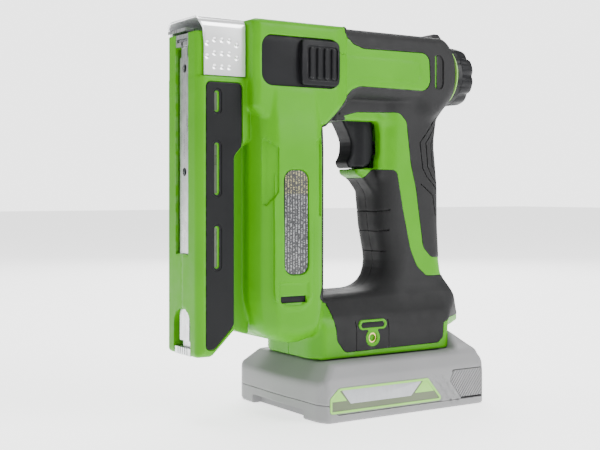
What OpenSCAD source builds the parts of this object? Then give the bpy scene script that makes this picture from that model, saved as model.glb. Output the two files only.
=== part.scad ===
// Cordless brad nailer and stapler on a flat battery pack, as separate working sub-parts.
// Axes: -X is the way it fires, +Z is up, and y = 0 is the seam between the two housings.
// The origin is the middle of the battery's underside. All sizes are in mm.

/* [Body] */
// Height of the barrel's flat top
top_z = 206.6; // [195:0.2:220]
// Wall thickness of the green housings
wall = 2.6; // [2:0.1:4]
// Thickness of the soft overmould skins
skin = 1.2; // [0.8:0.1:2]
// Half width of the nose column
col_w = 18; // [16:0.5:22]
// Half width of the barrel's front part
head_w = 26.5; // [24:0.5:30]
// Half width of the barrel's rear part
barrel_w = 23.5; // [22:0.5:28]
// Half width of the motor tower
tower_w = 29.5; // [27:0.5:34]
// Half width of the handle
handle_w = 17; // [14:0.5:20]
// Half width of the foot
foot_w = 28.5; // [26:0.5:34]

/* [Battery] */
// Length of the pack along X
batt_l = 114; // [100:1:130]
// Half width of the pack
batt_w = 44.6; // [40:0.2:50]
// Height of the pack's flat top
batt_h = 29.7; // [26:0.1:34]
// Radius of one cell
cell_r = 9.2; // [8.8:0.1:9.4]
// Length of one cell
cell_l = 65; // [60:0.5:70]

/* [Drive] */
// Height of the spring, rod and dial axis
axis_z = 186.5; // [184:0.1:188]
// X of the upright motor and gear axis
motor_x = -61; // [-62:0.5:-60]
// Motor can radius
motor_r = 17.5; // [14:0.5:19]
// Motor can length
motor_l = 54; // [40:1:56]
// Gear module of the planetary stage
gear_m = 0.8; // [0.7:0.05:0.8]
// Teeth on the sun pinion
sun_t = 12; // [12:3:12]
// Teeth on each planet
planet_t = 15; // [15:3:15]
// Gear module of the lifter and its rack
lift_m = 1.5; // [1.3:0.05:1.5]
// Teeth on the lifter gear
lift_t = 14; // [14:1:14]
// Travel of the hammer
stroke = 25; // [15:0.5:25]
// Radius of the guide rod
rod_r = 3; // [2.5:0.1:3.5]
// Wire radius of the main spring
wire_r = 1.3; // [1:0.05:1.5]
// Mean coil radius of the main spring
coil_r = 8.6; // [8:0.1:9.2]

/* [Nose and magazine] */
// Height of the driver blade
blade_z = 195.4; // [194.5:0.1:196]
// Half width of the driver blade
blade_w = 5.3; // [4:0.1:5.6]
// Half width of the magazine rail
rail_w = 5.15; // [4.5:0.05:5.5]
// Length of a brad
brad_l = 18; // [10:1:18]
// Length of the loaded brad strip
strip_l = 60; // [20:5:70]

/* [Controls] */
// Radius of the power dial
dial_r = 18; // [15:0.5:19]
// Radius of the belt hook insert's thread
insert_r = 2; // [1.5:0.1:2.5]

/* [Fits] */
// Running clearance on the radius of a shaft
run = 0.1; // [0.05:0.01:0.15]
// Gap beside a moving part
gap = 0.4; // [0.3:0.05:0.6]

/* [Hidden] */
$fn = 48;
arc_step = 22;
eps = 0.01;
pitch_r = lift_m*lift_t/2;
sun_r = gear_m*sun_t/2;
planet_r = gear_m*planet_t/2;
ring_t = sun_t + 2*planet_t;
ring_r = gear_m*ring_t/2;
orbit = sun_r + planet_r;
motor_z = 58;
gear_z = motor_z + motor_l + 6;
foot_z = 30;
chan_z = 37.4;
face_x = 55.6;

// --- rounded outlines: [x, y, corner radius], inset by e ---
function unit(v) = v/norm(v);
function turn(a, b) = atan2(a.x*b.y - a.y*b.x, a*b);
function rot2(v, t) = [v.x*cos(t) - v.y*sin(t), v.x*sin(t) + v.y*cos(t)];
function xy(p) = [p.x, p.y];
function inset(p, e) =
    let (n = len(p))
    [for (i = [0:n - 1])
        let (v = xy(p[i]), d0 = unit(v - xy(p[(i + n - 1) % n])), d1 = unit(xy(p[(i + 1) % n]) - v))
        let (n0 = [-d0.y, d0.x], n1 = [-d1.y, d1.x]) v + e*(n0 + n1)/(1 + n0*n1)];
function corner(a, w, b, r, e) =
    let (d0 = unit(w - a), d1 = unit(b - w), n0 = [-d0.y, d0.x], t = turn(d0, d1), s = sign(t))
    let (most = 0.48*min(norm(w - a), norm(b - w))/tan(max(1, abs(t)/2)))
    let (q = r == 0 ? 0 : min(most, max(0.3, r - s*e)))
    let (c = w - d0*q*tan(abs(t)/2) + n0*s*q, k = max(1, ceil(abs(t)/arc_step)))
    (q == 0 || abs(t) < 1) ? [w] : [for (i = [0:k]) c + rot2(-n0*s*q, t*i/k)];
function rp(p, e = 0) =
    let (n = len(p), w = inset(p, e))
    [for (i = [0:n - 1]) each corner(w[(i + n - 1) % n], w[i], w[(i + 1) % n], p[i][2], e)];
function box_pts(x0, y0, x1, y1, r) = [[x0, y0, r], [x1, y0, r], [x1, y1, r], [x0, y1, r]];

// --- extrude an outline along Y, Z or X ---
module slab(pts, y0, y1)
    translate([0, y1, 0]) rotate([90, 0, 0]) linear_extrude(y1 - y0) polygon(pts);
module plan(pts, z0, z1)
    translate([0, 0, z0]) linear_extrude(z1 - z0) polygon(pts);
module cross(pts, x0, x1)
    translate([x0, 0, 0]) rotate([90, 0, 90]) linear_extrude(x1 - x0) polygon(pts);
module box(a, b)
    translate(a) cube(b - a);
module along_x(x0, x1, r, y = 0, z = axis_z)
    translate([x0, y, z]) rotate([0, 90, 0]) cylinder(h = x1 - x0, r = r);
module along_y(y0, y1, r, x, z)
    translate([x, y1, z]) rotate([90, 0, 0]) cylinder(h = y1 - y0, r = r);
module along_z(z0, z1, r, x = 0, y = 0)
    translate([x, y, z0]) cylinder(h = z1 - z0, r = r);
module both()
{
    children();
    mirror([0, 1, 0]) children();
}

// --- body outlines ---
col_side = [[-113, 34.9, 1.5], [-104, 34.9, 2], [-90.8, 47.5, 2], [-90.8, 136, 3],
    [-86, 141, 2], [-86, 176.2, 0], [-113, 176.2, 0]];
tower_plan = [[-85.5, -17, 3], [-73, -tower_w, 6], [-46, -tower_w, 7], [-36, -14, 10],
    [-33, 0, 0], [-36, 14, 10], [-46, tower_w, 7], [-73, tower_w, 6], [-85.5, 17, 3]];
tower_side = [[-85.6, 62, 6], [-76, 44, 10], [-60, 38.5, 14], [-46, 43, 10],
    [-33, 64, 6], [-30, 176, 3], [-85.6, 176, 3]];
barrel_side = [[-60, 160, 3], [-33, 160, 3], [-18, 169, 4], [24, 169, 4], [34, 158, 4],
    [52, 158, 4], [face_x, 168, 3], [face_x, top_z, 3], [-60, top_z, 0]];
handle_side = [[22, 178, 0], [6, 168, 6], [3.6, 152, 6], [2.6, 123, 12], [5, 98, 20],
    [9, 75, 14], [2, 61, 8], [2, 43.4, 0], [48, 43.4, 0], [54, 62, 8], [50.6, 75, 12],
    [51, 98, 20], [49, 123, 20], [52, 150, 12], [54, 178, 0]];
foot_plan = [[-48.8, -22, 8], [-44.6, -foot_w, 5], [40, -foot_w, 7], [48, -22, 8],
    [68, -9, 8], [68, 9, 8], [48, 22, 8], [40, foot_w, 7], [-44.6, foot_w, 5],
    [-48.8, 22, 8]];
foot_side = [[-48.8, foot_z, 0.5], [41.5, foot_z, 0.5], [41.5, 42.3, 0.5], [68.5, 42.3, 2],
    [66, 49, 4], [57, 57, 6], [54, 63, 3], [-40, 63, 6], [-48.8, 50, 6]];
foot_cross = [[-foot_w, foot_z, 0.5], [foot_w, foot_z, 0.5], [foot_w, 48, 4],
    [handle_w - 1, 63, 3], [1 - handle_w, 63, 3], [-foot_w, 48, 4]];
head_cross = box_pts(-head_w, 160, head_w, top_z - 0.1, 9);
barrel_cross = box_pts(-barrel_w, 150, barrel_w, top_z, 9);

module column(e)
    intersection()
    {
        slab(rp(col_side, e), -col_w - 1, col_w + 1);
        plan(rp(box_pts(-113, -col_w, -86, col_w, 4.5), e), 30, 180);
    }
module tower(e)
    intersection()
    {
        plan(rp(tower_plan, e), 30, 180);
        slab(rp(tower_side, e), -40, 40);
    }
module barrel(e)
{
    cross(rp(head_cross, e), -85.3 + e, -26 - e);
    intersection()
    {
        slab(rp(barrel_side, e), -40, 40);
        cross(rp(barrel_cross, e), -70, 70);
    }
}
module guard(e)
    plan(rp(box_pts(-28.5, -14.5, 24, 14.5, 6), e), 157.5 + e, 174);
module handle(e)
    intersection()
    {
        slab(rp(handle_side, e), -handle_w - 1, handle_w + 1);
        translate([27.9, 0, 98]) rotate([0, -4, 0])
            translate([0, 0, -65])
                linear_extrude(146) polygon(rp(box_pts(-26, -handle_w, 26, handle_w, 12), e));
    }
module finger_rest(e)
    slab(rp([[-7, 130, 3], [-4, 124, 3], [6, 116, 0], [14, 116, 0], [14, 130, 0]], e),
        -9 + e, 9 - e);
module foot(e)
    intersection()
    {
        plan(rp(foot_plan, e), 20, 70);
        slab(rp(foot_side, e), -40, 40);
        cross(rp(foot_cross, e), -60, 80);
    }
module outer(e)
{
    column(e);
    tower(e);
    barrel(e);
    guard(e);
    handle(e);
    foot(e);
}

// --- skins: what the grips cover, seen from the side ---
rear_zone = [[-28, 215], [-28.2, 203.2], [-21.6, 197.8], [-14.9, 195.5], [28.6, 195.8],
    [30.6, 192.7], [31.2, 181.4], [26.8, 175.4], [-16.5, 175.4], [-21.8, 173.6],
    [-30.5, 163], [-25, 160.2], [-12.4, 161.8], [13.4, 162.1], [18.8, 157.6],
    [22.6, 134], [26.3, 120.3], [31.9, 85.3], [36.7, 80.7], [60, 79.5], [60, 215]];
lower_zone = [[-14, 128.5], [12.6, 129.6], [17.1, 108.7], [22.6, 85.5], [27.3, 75.9],
    [33.8, 70.5], [60, 69.9], [72, 60], [72, 46], [44.7, 48], [36.5, 44.5], [36.5, 36.1],
    [31.4, 33.4], [-30, 33.4], [-35.8, 39.8], [-37.2, 50.4], [-36.9, 64.5], [-20, 66],
    [-14, 100]];
module zone(pts)
    slab(pts, -60, 60);
module grip_skin(pts, s)
    intersection()
    {
        difference()
        {
            union()
            {
                barrel(0);
                handle(0);
                foot(0);
            }
            outer(skin);
            tower(-0.3);
            guard(-0.3);
            chan();
            trigger_slot();
            dial_hole();
        }
        zone(pts);
        half(s);
    }
module half(s)
    box([-200, s < 0 ? -80 : 0, -10], [200, s < 0 ? 0 : 80, 300]);

// --- openings ---
module chan()
    box([-34, -20.8, 20], [80, 20.8, chan_z]);
module trigger_slot()
    box([-26, -9.4, 130.6], [14, 9.4, 168]);
module dial_hole()
    along_x(48, 80, 6.5);
panel_pts = [[-108.5, 39, 2], [-103.6, 38.5, 2], [-91.8, 50, 2], [-91.8, 136.5, 3],
    [-87.4, 141, 3], [-87.4, 173.6, 3], [-108.5, 173.6, 3]];
module nose_openings()
{
    box([-120, -7.2, 86], [-110, 7.2, 180]);
    box([-120, -9.3, 30], [-110, 9.3, 52]);
    along_x(-120, -110, 9.3, 0, 51.5);
    box([-111.5, -9.3, 30], [-103.5, 9.3, 56]);
    box([-111.8, -rail_w - gap - 0.15, 20], [-90.4, rail_w + gap + 0.15, 90]);
    box([-91.5, -15.4, 168], [-78, 15.4, 188]);
    box([-91.5, -12.6, 168], [-78, 12.6, 200]);
}
module inside()
{
    column(wall);
    tower(wall);
    barrel(wall);
    guard(wall);
    difference()
    {
        handle(wall);
        box([-10, -30, 30], [70, 30, 41]);
    }
    difference()
    {
        foot(wall);
        box([-60, -30, 28], [80, 30, 40]);
    }
}
boss_xz = [[-40.6, 150, 20], [-79, 152, 21.5], [47, 172, 22], [41, 140, 15],
    [20, 112, 15.4], [42, 84, 15], [-42, 46, 24], [57, 50.5, 12.5]];

module housing(s)
    difference()
    {
        intersection()
        {
            union()
            {
                difference()
                {
                    union()
                    {
                        outer(0);
                        finger_rest(0);
                        box([-93, -11, 52], [-80, 11, 150]);
                    }
                    inside();
                    box([-130, -40, 176], [-85, 40, 220]);
                }
                nose_neck();
                for (p = boss_xz)
                    along_y(-p[2], p[2], 4.4, p[0], p[1]);
                along_y(-24, 24, 3.2, -2.5, 159.6);
            }
            half(s);
        }
        difference()
        {
            zone(rear_zone);
            outer(skin);
            tower(-0.3);
            guard(-0.3);
        }
        difference()
        {
            zone(lower_zone);
            outer(skin);
            tower(-0.3);
            guard(-0.3);
        }
        chan();
        trigger_slot();
        dial_hole();
        nose_openings();
        both()
            slab(rp(panel_pts), -30, -col_w + 1.5);
        for (p = boss_xz)
        {
            along_y(-12, 60, 1.65, p[0], p[1]);
            along_y(11.5, 60, 3.3, p[0], p[1]);
        }
        along_y(-14.1, 14.1, 1.6, -2.5, 159.6);
        slider_recess();
        label_recess();
        lock_recess();
        both()
            along_y(-40, -foot_w + 7, 3.2, -12.8, 39.5);
        along_z(motor_z - 2, gear_z + 22, 21.2, motor_x);
        box([-86, -19.6, 168], [42, 19.6, 203]);
        box([-110, -8.3, 50], [-87, 8.3, 204]);
        box([12, -9, 128], [34, 9, 158]);
    }
module nose_neck()
    difference()
    {
        box([-111, -col_w + 1.7, 170], [-85.2, col_w - 1.7, 199.5]);
        box([-120, -12.6, 160], [-80, 12.6, 210]);
        box([-91.5, -15.4, 150], [-80, 15.4, 188]);
    }
module slider_recess()
    translate([0, -head_w, 0]) slab(rp(box_pts(-80.8, 172.6, -32.5, 198.4, 5)), -5, 2);
module label_recess()
    slab(rp(box_pts(-69.6, 75.4, -54.8, 129.4, 5)), -40, -tower_w + 1.6);
module lock_recess()
    box([30, -8.4, top_z - 1.6], [58, 8.4, top_z + 5]);

module housing_left()
    color([0.42, 0.66, 0.2]) housing(-1);
module housing_right()
    color([0.4, 0.64, 0.19]) housing(1);
module rear_grip_left()
    color([0.2, 0.2, 0.21])
        difference()
        {
            grip_skin(rear_zone, -1);
            lock_recess();
        }
module rear_grip_right()
    color([0.2, 0.2, 0.21])
        difference()
        {
            grip_skin(rear_zone, 1);
            lock_recess();
            for (p = boss_xz)
                along_y(11.5, 60, 3.3, p[0], p[1]);
        }
module lower_grip_left()
    color([0.2, 0.2, 0.21])
        difference()
        {
            grip_skin(lower_zone, -1);
            along_y(-40, -foot_w + 7, 3.2, -12.8, 39.5);
        }
module lower_grip_right()
    color([0.2, 0.2, 0.21])
        difference()
        {
            grip_skin(lower_zone, 1);
            along_y(foot_w - 7, 40, 3.2, -12.8, 39.5);
            for (p = boss_xz)
                along_y(11.5, 60, 3.3, p[0], p[1]);
        }
module side_panel()
    difference()
    {
        slab(rp(panel_pts, 0.15), -col_w + 0.2, -col_w + 1.4);
        for (z = [[79.3, 100.9], [116.4, 142.9], [158.2, 169.1]])
            slab(rp(box_pts(-103.4, z[0], -100.6, z[1], 1.3)), -30, -10);
    }
module side_panel_left()
    color([0.15, 0.16, 0.16]) side_panel();
module side_panel_right()
    color([0.15, 0.16, 0.16]) mirror([0, 1, 0]) side_panel();

// --- nose ---
dimple_xz = [[-111, 193], [-106.5, 194.9], [-101.9, 195], [-97.3, 195], [-92.6, 193.4]];
module nose_cover()
    color([0.82, 0.84, 0.86])
        difference()
        {
            cross(rp(box_pts(-col_w - 0.2, 150, col_w + 0.2, top_z - 0.1, 5.5)),
                -112.5, -85.6);
            cross(rp(box_pts(-col_w + 1.3, 140, col_w - 1.3, top_z - 1.6, 4)), -120, -80);
            box([-120, -30, 140], [-80, 30, 176.6]);
            both()
                for (p = dimple_xz, k = [-1:1])
                    along_y(-col_w - 1, -col_w + 0.2, 1.1, p[0] + 1.5, p[1] - 6 + 7*k);
        }
module nose_block()
    color([0.62, 0.64, 0.66])
        difference()
        {
            box([-112.8, -8.7, 192.3], [-88, 8.7, 198.4]);
            box([-120, -blade_w - 0.7, blade_z - 0.9], [-80, blade_w + 0.7, blade_z + 0.9]);
            box([-120, -1, 190], [-80, 1, blade_z]);
            box([-110, -6.2, 190], [-80, 6.2, blade_z]);
        }
module nose_plate()
    color([0.7, 0.72, 0.73])
        box([-112.9, -4, 200], [-88, 16, 201.7]);
module mag_channel()
    color([0.66, 0.68, 0.69])
        difference()
        {
            box([-109.4, -8, 62], [-87.4, 8, 192.2]);
            box([-120, -rail_w - gap - 1.4, 60], [-88.6, rail_w + gap + 1.4, 200]);
        }

// --- magazine drawer ---
module mag_rail()
    color([0.75, 0.77, 0.78])
        difference()
        {
            box([-111.4, -rail_w, 42], [-91, rail_w, 192]);
            box([-110.2, -rail_w + 1.1, 40], [-80, rail_w - 1.1, 200]);
            box([-110.2, -20, 30], [-80, 20, 57]);
            for (z = [128.3, 181.2])
                along_x(-120, -105, 2.15, 0, z);
            both()
                box([-120, -9, 187], [-80, -3.3, 200]);
        }
module mag_latch()
    color([0.55, 0.57, 0.58])
        difference()
        {
            union()
            {
                box([-112.6, -8.6, 34.9], [-104.4, 8.6, 38.6]);
                box([-110.1, -rail_w + 1.1, 38], [-107.8, rail_w - 1.1, 54]);
                box([-110.1, -rail_w + 1.1, 44], [-101.5, rail_w - 1.1, 46.4]);
            }
            for (y = [-5:2.5:5])
                box([-113, y - 0.5, 34], [-111.8, y + 0.5, 39]);
        }
module brad_strip()
    color([0.8, 0.78, 0.7])
        difference()
        {
            box([-109.6, -0.6, blade_z - 1.4 - strip_l], [brad_l - 109.6, 0.6, blade_z - 1.4]);
            for (i = [1:strip_l/5 - 1])
                box([-120, 0.5, blade_z - 1.4 - 5*i], [-80, 1, blade_z - 1.2 - 5*i]);
        }
module pusher()
    color([0.85, 0.55, 0.15])
        difference()
        {
            box([-109.4, -3.4, blade_z - 14 - strip_l], [-92, 3.4, blade_z - 1.8 - strip_l]);
            box([-100, -2.2, blade_z - 20 - strip_l], [-94, 2.2, blade_z - 6 - strip_l]);
        }
module pusher_spring()
    color([0.7, 0.71, 0.72])
        translate([-104.5, 0, 46.6])
            helix(blade_z - 14.6 - strip_l - 46.6, 2.4, 0.45, 14);

module helix(h, r, w, turns)
    linear_extrude(height = h, twist = -360*turns, slices = turns*16, $fn = 6)
        translate([r, 0]) circle(r = w*1.4, $fn = 6);

// --- hammer line ---
module mech_frame()
    color([0.5, 0.52, 0.54])
        difference()
        {
            union()
            {
                both()
                    box([-84, -19, 172], [40, -17.4, 200]);
                box([36, -19, 172], [40, 19, 200]);
                box([-56.5, -19, 185.4], [-52.5, 19, 193.4]);
            }
            along_x(30, 50, 5 + run);
            along_x(-60, -50, rod_r);
            both()
                for (x = [-70:22:30])
                    slab(rp(box_pts(x, 180, x + 14, 184.6, 2)), -30, -10);
        }
module bumper()
    color([0.12, 0.12, 0.12])
        difference()
        {
            box([-52.4, -9, 185.4], [-48.3, 9, 193.4]);
            along_x(-60, -40, rod_r + run);
        }
module guide_rod()
    color([0.8, 0.81, 0.82]) along_x(-56.4, 33, rod_r);
module main_spring()
    color([0.6, 0.61, 0.63])
        translate([-29.6, 0, axis_z]) rotate([0, 90, 0]) helix(58.2, coil_r, wire_r, 8);
module spring_seat()
    color([0.7, 0.68, 0.6])
        difference()
        {
            along_x(29, 33, 11.5);
            along_x(20, 40, 5 + run);
            box([20, -2, 196], [40, 2, 200]);
        }
module hammer()
    color([0.45, 0.46, 0.48])
        difference()
        {
            union()
            {
                box([-48, -13, 177], [-30, 13, 193.6]);
                box([-48, -9, 193], [-30, 9, 200]);
                box([-48, 11.8, 176.4], [-30, 15, 184]);
                intersection()
                {
                    box([-89, pitch_r - lift_m, 176.4], [-46, 15, 184]);
                    plan(rack_pts(), 170, 190);
                }
            }
            along_x(-60, -20, rod_r + run);
            box([-60, -blade_w - 0.05, blade_z - 0.6], [-38, blade_w + 0.05, blade_z + 0.6]);
            along_z(190, 210, 1.55, -42);
        }
module driver_blade()
    color([0.78, 0.79, 0.8])
        difference()
        {
            box([-112, -blade_w, blade_z - 0.6], [-38.2, blade_w, blade_z + 0.6]);
            along_z(190, 210, 1.6, -42);
        }
module blade_pin()
    color([0.6, 0.6, 0.62]) along_z(190.5, 199.8, 1.5, -42);

// --- dial at the rear ---
module adjuster_screw()
    color([0.72, 0.73, 0.74])
        difference()
        {
            along_x(23, 60, 5);
            along_x(20, 34, rod_r + run);
        }
module dial_ring()
    color([0.62, 0.78, 0.5])
        difference()
        {
            along_x(face_x + 0.02, face_x + 0.8, dial_r + 1);
            along_x(face_x - 1, face_x + 2, dial_r - 3);
        }
module power_dial()
    color([0.2, 0.2, 0.21])
        translate([face_x + 1.2, 0, axis_z]) rotate([0, 90, 0])
            difference()
            {
                union()
                {
                    cylinder(h = 13, r1 = dial_r, r2 = dial_r - 0.8);
                    translate([0, 0, 12.9]) cylinder(h = 2.6, r1 = dial_r - 2, r2 = dial_r - 4);
                }
                for (i = [0:7])
                    rotate([0, 0, 45*i + 22.5])
                        translate([dial_r + 2.4, 0, 2.5]) cylinder(h = 20, r = 4.4);
                translate([0, 0, -1]) cylinder(h = 8, r = 5);
            }

// --- motor and gears ---
function gear_pts(t, m, bl, in = 0) =
    let (r = m*t/2, a = 90/t - bl*90/(PI*r))
    let (hi = in ? r + 1.2*m : r + 0.9*m, lo = in ? r - 0.85*m : r - 1.25*m)
    [for (i = [0:t - 1])
        for (q = [[lo, -1.62], [r - 0.4*m, -1.3], [r + 0.35*m, -0.72], [hi, -0.42],
            [hi, 0.42], [r + 0.35*m, 0.72], [r - 0.4*m, 1.3], [lo, 1.62]])
            q[0]*[cos(360*i/t + q[1]*a), sin(360*i/t + q[1]*a)]];
function rack_pts() =
    let (p = PI*lift_m, x0 = motor_x, y0 = pitch_r, h = p/4 - 0.25)
    concat([[-46, 15], [-89, 15], [-89, y0 + 1.9]],
        [for (i = [-6:1]) let (x = x0 + (i + 0.5)*p)
            each [[x - h - 0.62, y0 + 1.9], [x - h + 0.42, y0 - 1.2], [x + h - 0.42, y0 - 1.2],
                [x + h + 0.62, y0 + 1.9]]],
        [[-46, y0 + 1.9]]);
module motor_can()
    color([0.55, 0.57, 0.6])
        difference()
        {
            along_z(motor_z, motor_z + motor_l, motor_r, motor_x);
            along_z(motor_z - 1, motor_z + motor_l - 1.5, motor_r - 1.6, motor_x);
            along_z(motor_z, motor_z + 80, 3.3, motor_x);
            both()
                for (z = [motor_z + 8, motor_z + motor_l - 12])
                    box([motor_x - 4, -30, z], [motor_x + 4, -10, z + 4]);
        }
module motor_cap()
    color([0.15, 0.15, 0.16])
        difference()
        {
            union()
            {
                along_z(motor_z - 4, motor_z, motor_r - 0.4, motor_x);
                along_z(motor_z - eps, motor_z + 5, motor_r - 1.7, motor_x);
            }
            along_z(motor_z - 6, motor_z + 8, 3.3, motor_x);
            along_z(motor_z + 1, motor_z + 8, motor_r - 3.4, motor_x);
        }
module motor_shaft()
    color([0.7, 0.71, 0.72])
    {
        along_z(motor_z - 5, gear_z + 9.8, 1.6, motor_x);
        difference()
        {
            along_z(motor_z + 9, motor_z + motor_l - 8, motor_r - 4.2, motor_x);
            for (i = [0:4])
                rotate_about(motor_x, 72*i)
                    box([motor_r - 7.5, -1, motor_z + 8], [motor_r, 1, motor_z + motor_l]);
            along_z(motor_z + 8, motor_z + 60, 1.6, motor_x);
        }
    }
module rotate_about(x, a)
    translate([x, 0, 0]) rotate([0, 0, a]) children();
module sun_gear()
    color([0.75, 0.7, 0.5])
        translate([motor_x, 0, gear_z])
            difference()
            {
                linear_extrude(10) polygon(gear_pts(sun_t, gear_m, 0.2));
                translate([0, 0, -1]) cylinder(h = 20, r = 1.6);
            }
module planet(k)
    translate([motor_x, 0, gear_z + 0.4]) rotate([0, 0, 120*k]) translate([orbit, 0, 0])
        rotate([0, 0, 180 + 180/planet_t - 120*k*sun_t/planet_t])
            difference()
            {
                linear_extrude(8.6) polygon(gear_pts(planet_t, gear_m, 0.2));
                translate([0, 0, -1]) cylinder(h = 20, r = 2 + run);
            }
module planet_1()
    color([0.7, 0.66, 0.5]) planet(0);
module planet_2()
    color([0.7, 0.66, 0.5]) planet(1);
module planet_3()
    color([0.7, 0.66, 0.5]) planet(2);
module gear_case()
    color([0.3, 0.31, 0.32])
        difference()
        {
            along_z(motor_z + motor_l, gear_z + 19, 20.8, motor_x);
            along_z(motor_z + motor_l + 1, gear_z - 0.4, ring_r - 1.2, motor_x);
            translate([motor_x, 0, gear_z - 0.4])
                linear_extrude(10) polygon(gear_pts(ring_t, gear_m, -0.15, 1));
            along_z(gear_z + 9.4, gear_z + 15.5, ring_r + 0.4, motor_x);
            along_z(motor_z, gear_z + 30, 4 + run, motor_x);
        }
module planet_carrier()
    color([0.58, 0.6, 0.62])
    {
        along_z(gear_z + 10.2, gear_z + 14.8, orbit + 3.4, motor_x);
        along_z(gear_z + 14.6, 183.6, 4, motor_x);
        for (k = [0:2])
            rotate_about(motor_x, 120*k)
                along_z(gear_z + 0.2, gear_z + 10.6, 2, orbit);
    }
module lifter_gear()
    color([0.68, 0.6, 0.4])
        translate([motor_x, 0, 177])
            difference()
            {
                linear_extrude(6.4) rotate(90) polygon(gear_pts(lift_t, lift_m, 0.25));
                translate([0, 0, -1]) cylinder(h = 20, r = 4);
            }

// --- trigger ---
piv = [-2.5, 159.6];
trig_side = [[-15, 157.6, 2], [-10.8, 146.5, 30], [-13.4, 134, 4], [-7.5, 131.2, 2],
    [-3, 132.5, 6], [1.8, 140, 8], [1.8, 148, 4], [1.6, 160, 2], [-4, 164, 2], [-15, 163.4, 2]];
module trigger()
    color([0.14, 0.14, 0.15])
        difference()
        {
            slab(rp(trig_side), -8.8, 8.8);
            along_y(-20, 20, 2 + run, piv[0], piv[1]);
            slab(rp(trig_side, 2.2), -6.6, 6.6);
            box([-8, -6.6, 138], [10, 6.6, 154]);
        }
module trigger_pin()
    color([0.7, 0.71, 0.72]) along_y(-14, 14, 1.55, piv[0], piv[1]);
module switch_body()
    color([0.1, 0.1, 0.1])
        difference()
        {
            box([15, -8, 132], [30, 8, 154]);
            along_x(10, 24, 2.2, 0, 143);
        }
module switch_plunger()
    color([0.75, 0.12, 0.1])
    {
        along_x(-6.5, 20, 2, 0, 143);
        along_x(-7.9, -6.3, 4.4, 0, 143);
        along_x(8.8, 10.2, 4, 0, 143);
    }
module trigger_spring()
    color([0.7, 0.71, 0.72])
        translate([10.4, 0, 143]) rotate([0, 90, 0]) helix(4.5, 3.2, 0.3, 4);

// --- slides and switches ---
module mode_slider()
    color([0.16, 0.16, 0.17])
        difference()
        {
            union()
            {
                translate([0, -head_w, 0])
                    slab(rp(box_pts(-57.9, 173.4, -33.4, 197.6, 3)), -1.2, 1.7);
                for (i = [0:3])
                    box([-54 + 5*i, -head_w - 2.6, 176.5], [-51.6 + 5*i, -head_w - 1, 194.5]);
            }
        }
module lock_switch()
    color([0.1, 0.1, 0.11])
        slab(rp([[34, top_z - 0.8, 0.3], [54, top_z - 0.8, 0.5], [54, top_z + 2, 1],
            [50, top_z + 4.2, 2], [44, top_z + 3.2, 6], [34, top_z + 0.4, 0.3]]), -7, 7);

// --- electrics ---
module control_board()
    color([0.1, 0.35, 0.16])
        union()
        {
            box([-30, -17, 44], [38, 17, 45.6]);
            box([-20, -6, 45.5], [-8, 6, 52]);
            box([0, -12, 45.5], [8, -4, 49]);
            box([16, 2, 45.5], [30, 12, 48.5]);
            along_z(45.5, 56, 5, -24);
        }
module terminal_block()
    color([0.12, 0.12, 0.12])
    {
        box([-34, -16, chan_z - 6], [-28, 16, chan_z]);
        for (y = [-12:6:12])
            box([-28.2, y - 0.4, chan_z - 5], [-18, y + 0.4, chan_z - 1]);
    }
module wiring()
    color([0.7, 0.1, 0.1])
        for (y = [-5, 5])
        {
            along_z(51.9, 53.9, 0.9, -61, y);
            along_z(45.7, 52.9, 0.9, -28.5, y);
            along_x(-61.9, -27.6, 0.9, y, 52);
        }

// --- trim and fasteners ---
module label_plate()
    color([0.3, 0.31, 0.32])
        slab(rp(box_pts(-69.4, 75.6, -55, 129.2, 4.8)), -tower_w + 0.5, -tower_w + 1.5);
module hook_inserts()
    color([0.8, 0.68, 0.35])
        both()
            difference()
            {
                along_y(-foot_w + 0.3, -foot_w + 6.9, 3.1, -12.8, 39.5);
                along_y(-40, -15, insert_r, -12.8, 39.5);
            }
module housing_screws()
    color([0.25, 0.25, 0.26])
        for (p = boss_xz)
        {
            along_y(-10, 13, 1.55, p[0], p[1]);
            difference()
            {
                along_y(11.6, 14, 2.9, p[0], p[1]);
                along_y(12.8, 20, 1.3, p[0], p[1]);
            }
        }

// --- battery ---
batt_plan = [[-batt_l/2, -batt_w + 14, 12], [-batt_l/2 + 9, -batt_w, 3],
    [batt_l/2 - 3, -batt_w, 4], [batt_l/2, -batt_w + 6, 6], [batt_l/2, batt_w - 6, 6],
    [batt_l/2 - 3, batt_w, 4], [9 - batt_l/2, batt_w, 3], [-batt_l/2, batt_w - 14, 12]];
batt_cross = [[-batt_w, 0, 1], [batt_w, 0, 1], [batt_w, 17, 3], [batt_w - 11, batt_h, 3],
    [11 - batt_w, batt_h, 3], [-batt_w, 17, 3]];
module pack(e)
    intersection()
    {
        plan(rp(batt_plan, e), e, batt_h - e);
        cross(rp(batt_cross, e), -80, 80);
    }
module release_slot()
    box([30, -60, 9], [46, -36, 24]);
module battery_base()
    color([0.16, 0.16, 0.17])
        difference()
        {
            pack(0);
            pack(2);
            box([-80, -60, 14], [80, 60, 60]);
            both() release_slot();
        }
module battery_lid()
    color([0.62, 0.63, 0.63])
        difference()
        {
            union()
            {
                difference()
                {
                    pack(0);
                    pack(2);
                }
                box([-17, -20, batt_h - 2], [48, 20, chan_z - gap]);
                box([42, -26, batt_h - 2], [batt_l/2 - 2, 26, 40]);
            }
            box([-15, -18, 20], [46, 18, chan_z - 2.4]);
            box([-80, -60, -10], [80, 60, 14]);
            for (y = [-12:6:12])
                box([-30, y - 1, 31], [-9, y + 1, chan_z + 1]);
            both() release_slot();
            both()
                slab(rp([[-50.5, 14.4, 0], [-47.8, 19, 1], [10.3, 19, 1], [14, 14.4, 0]]),
                    -60, -batt_w + 0.5);
        }
module cells()
    color([0.15, 0.35, 0.6])
        for (i = [-2:2])
            along_y(-cell_l/2, cell_l/2, cell_r, 19.2*i - 4, 12.3);
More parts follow.
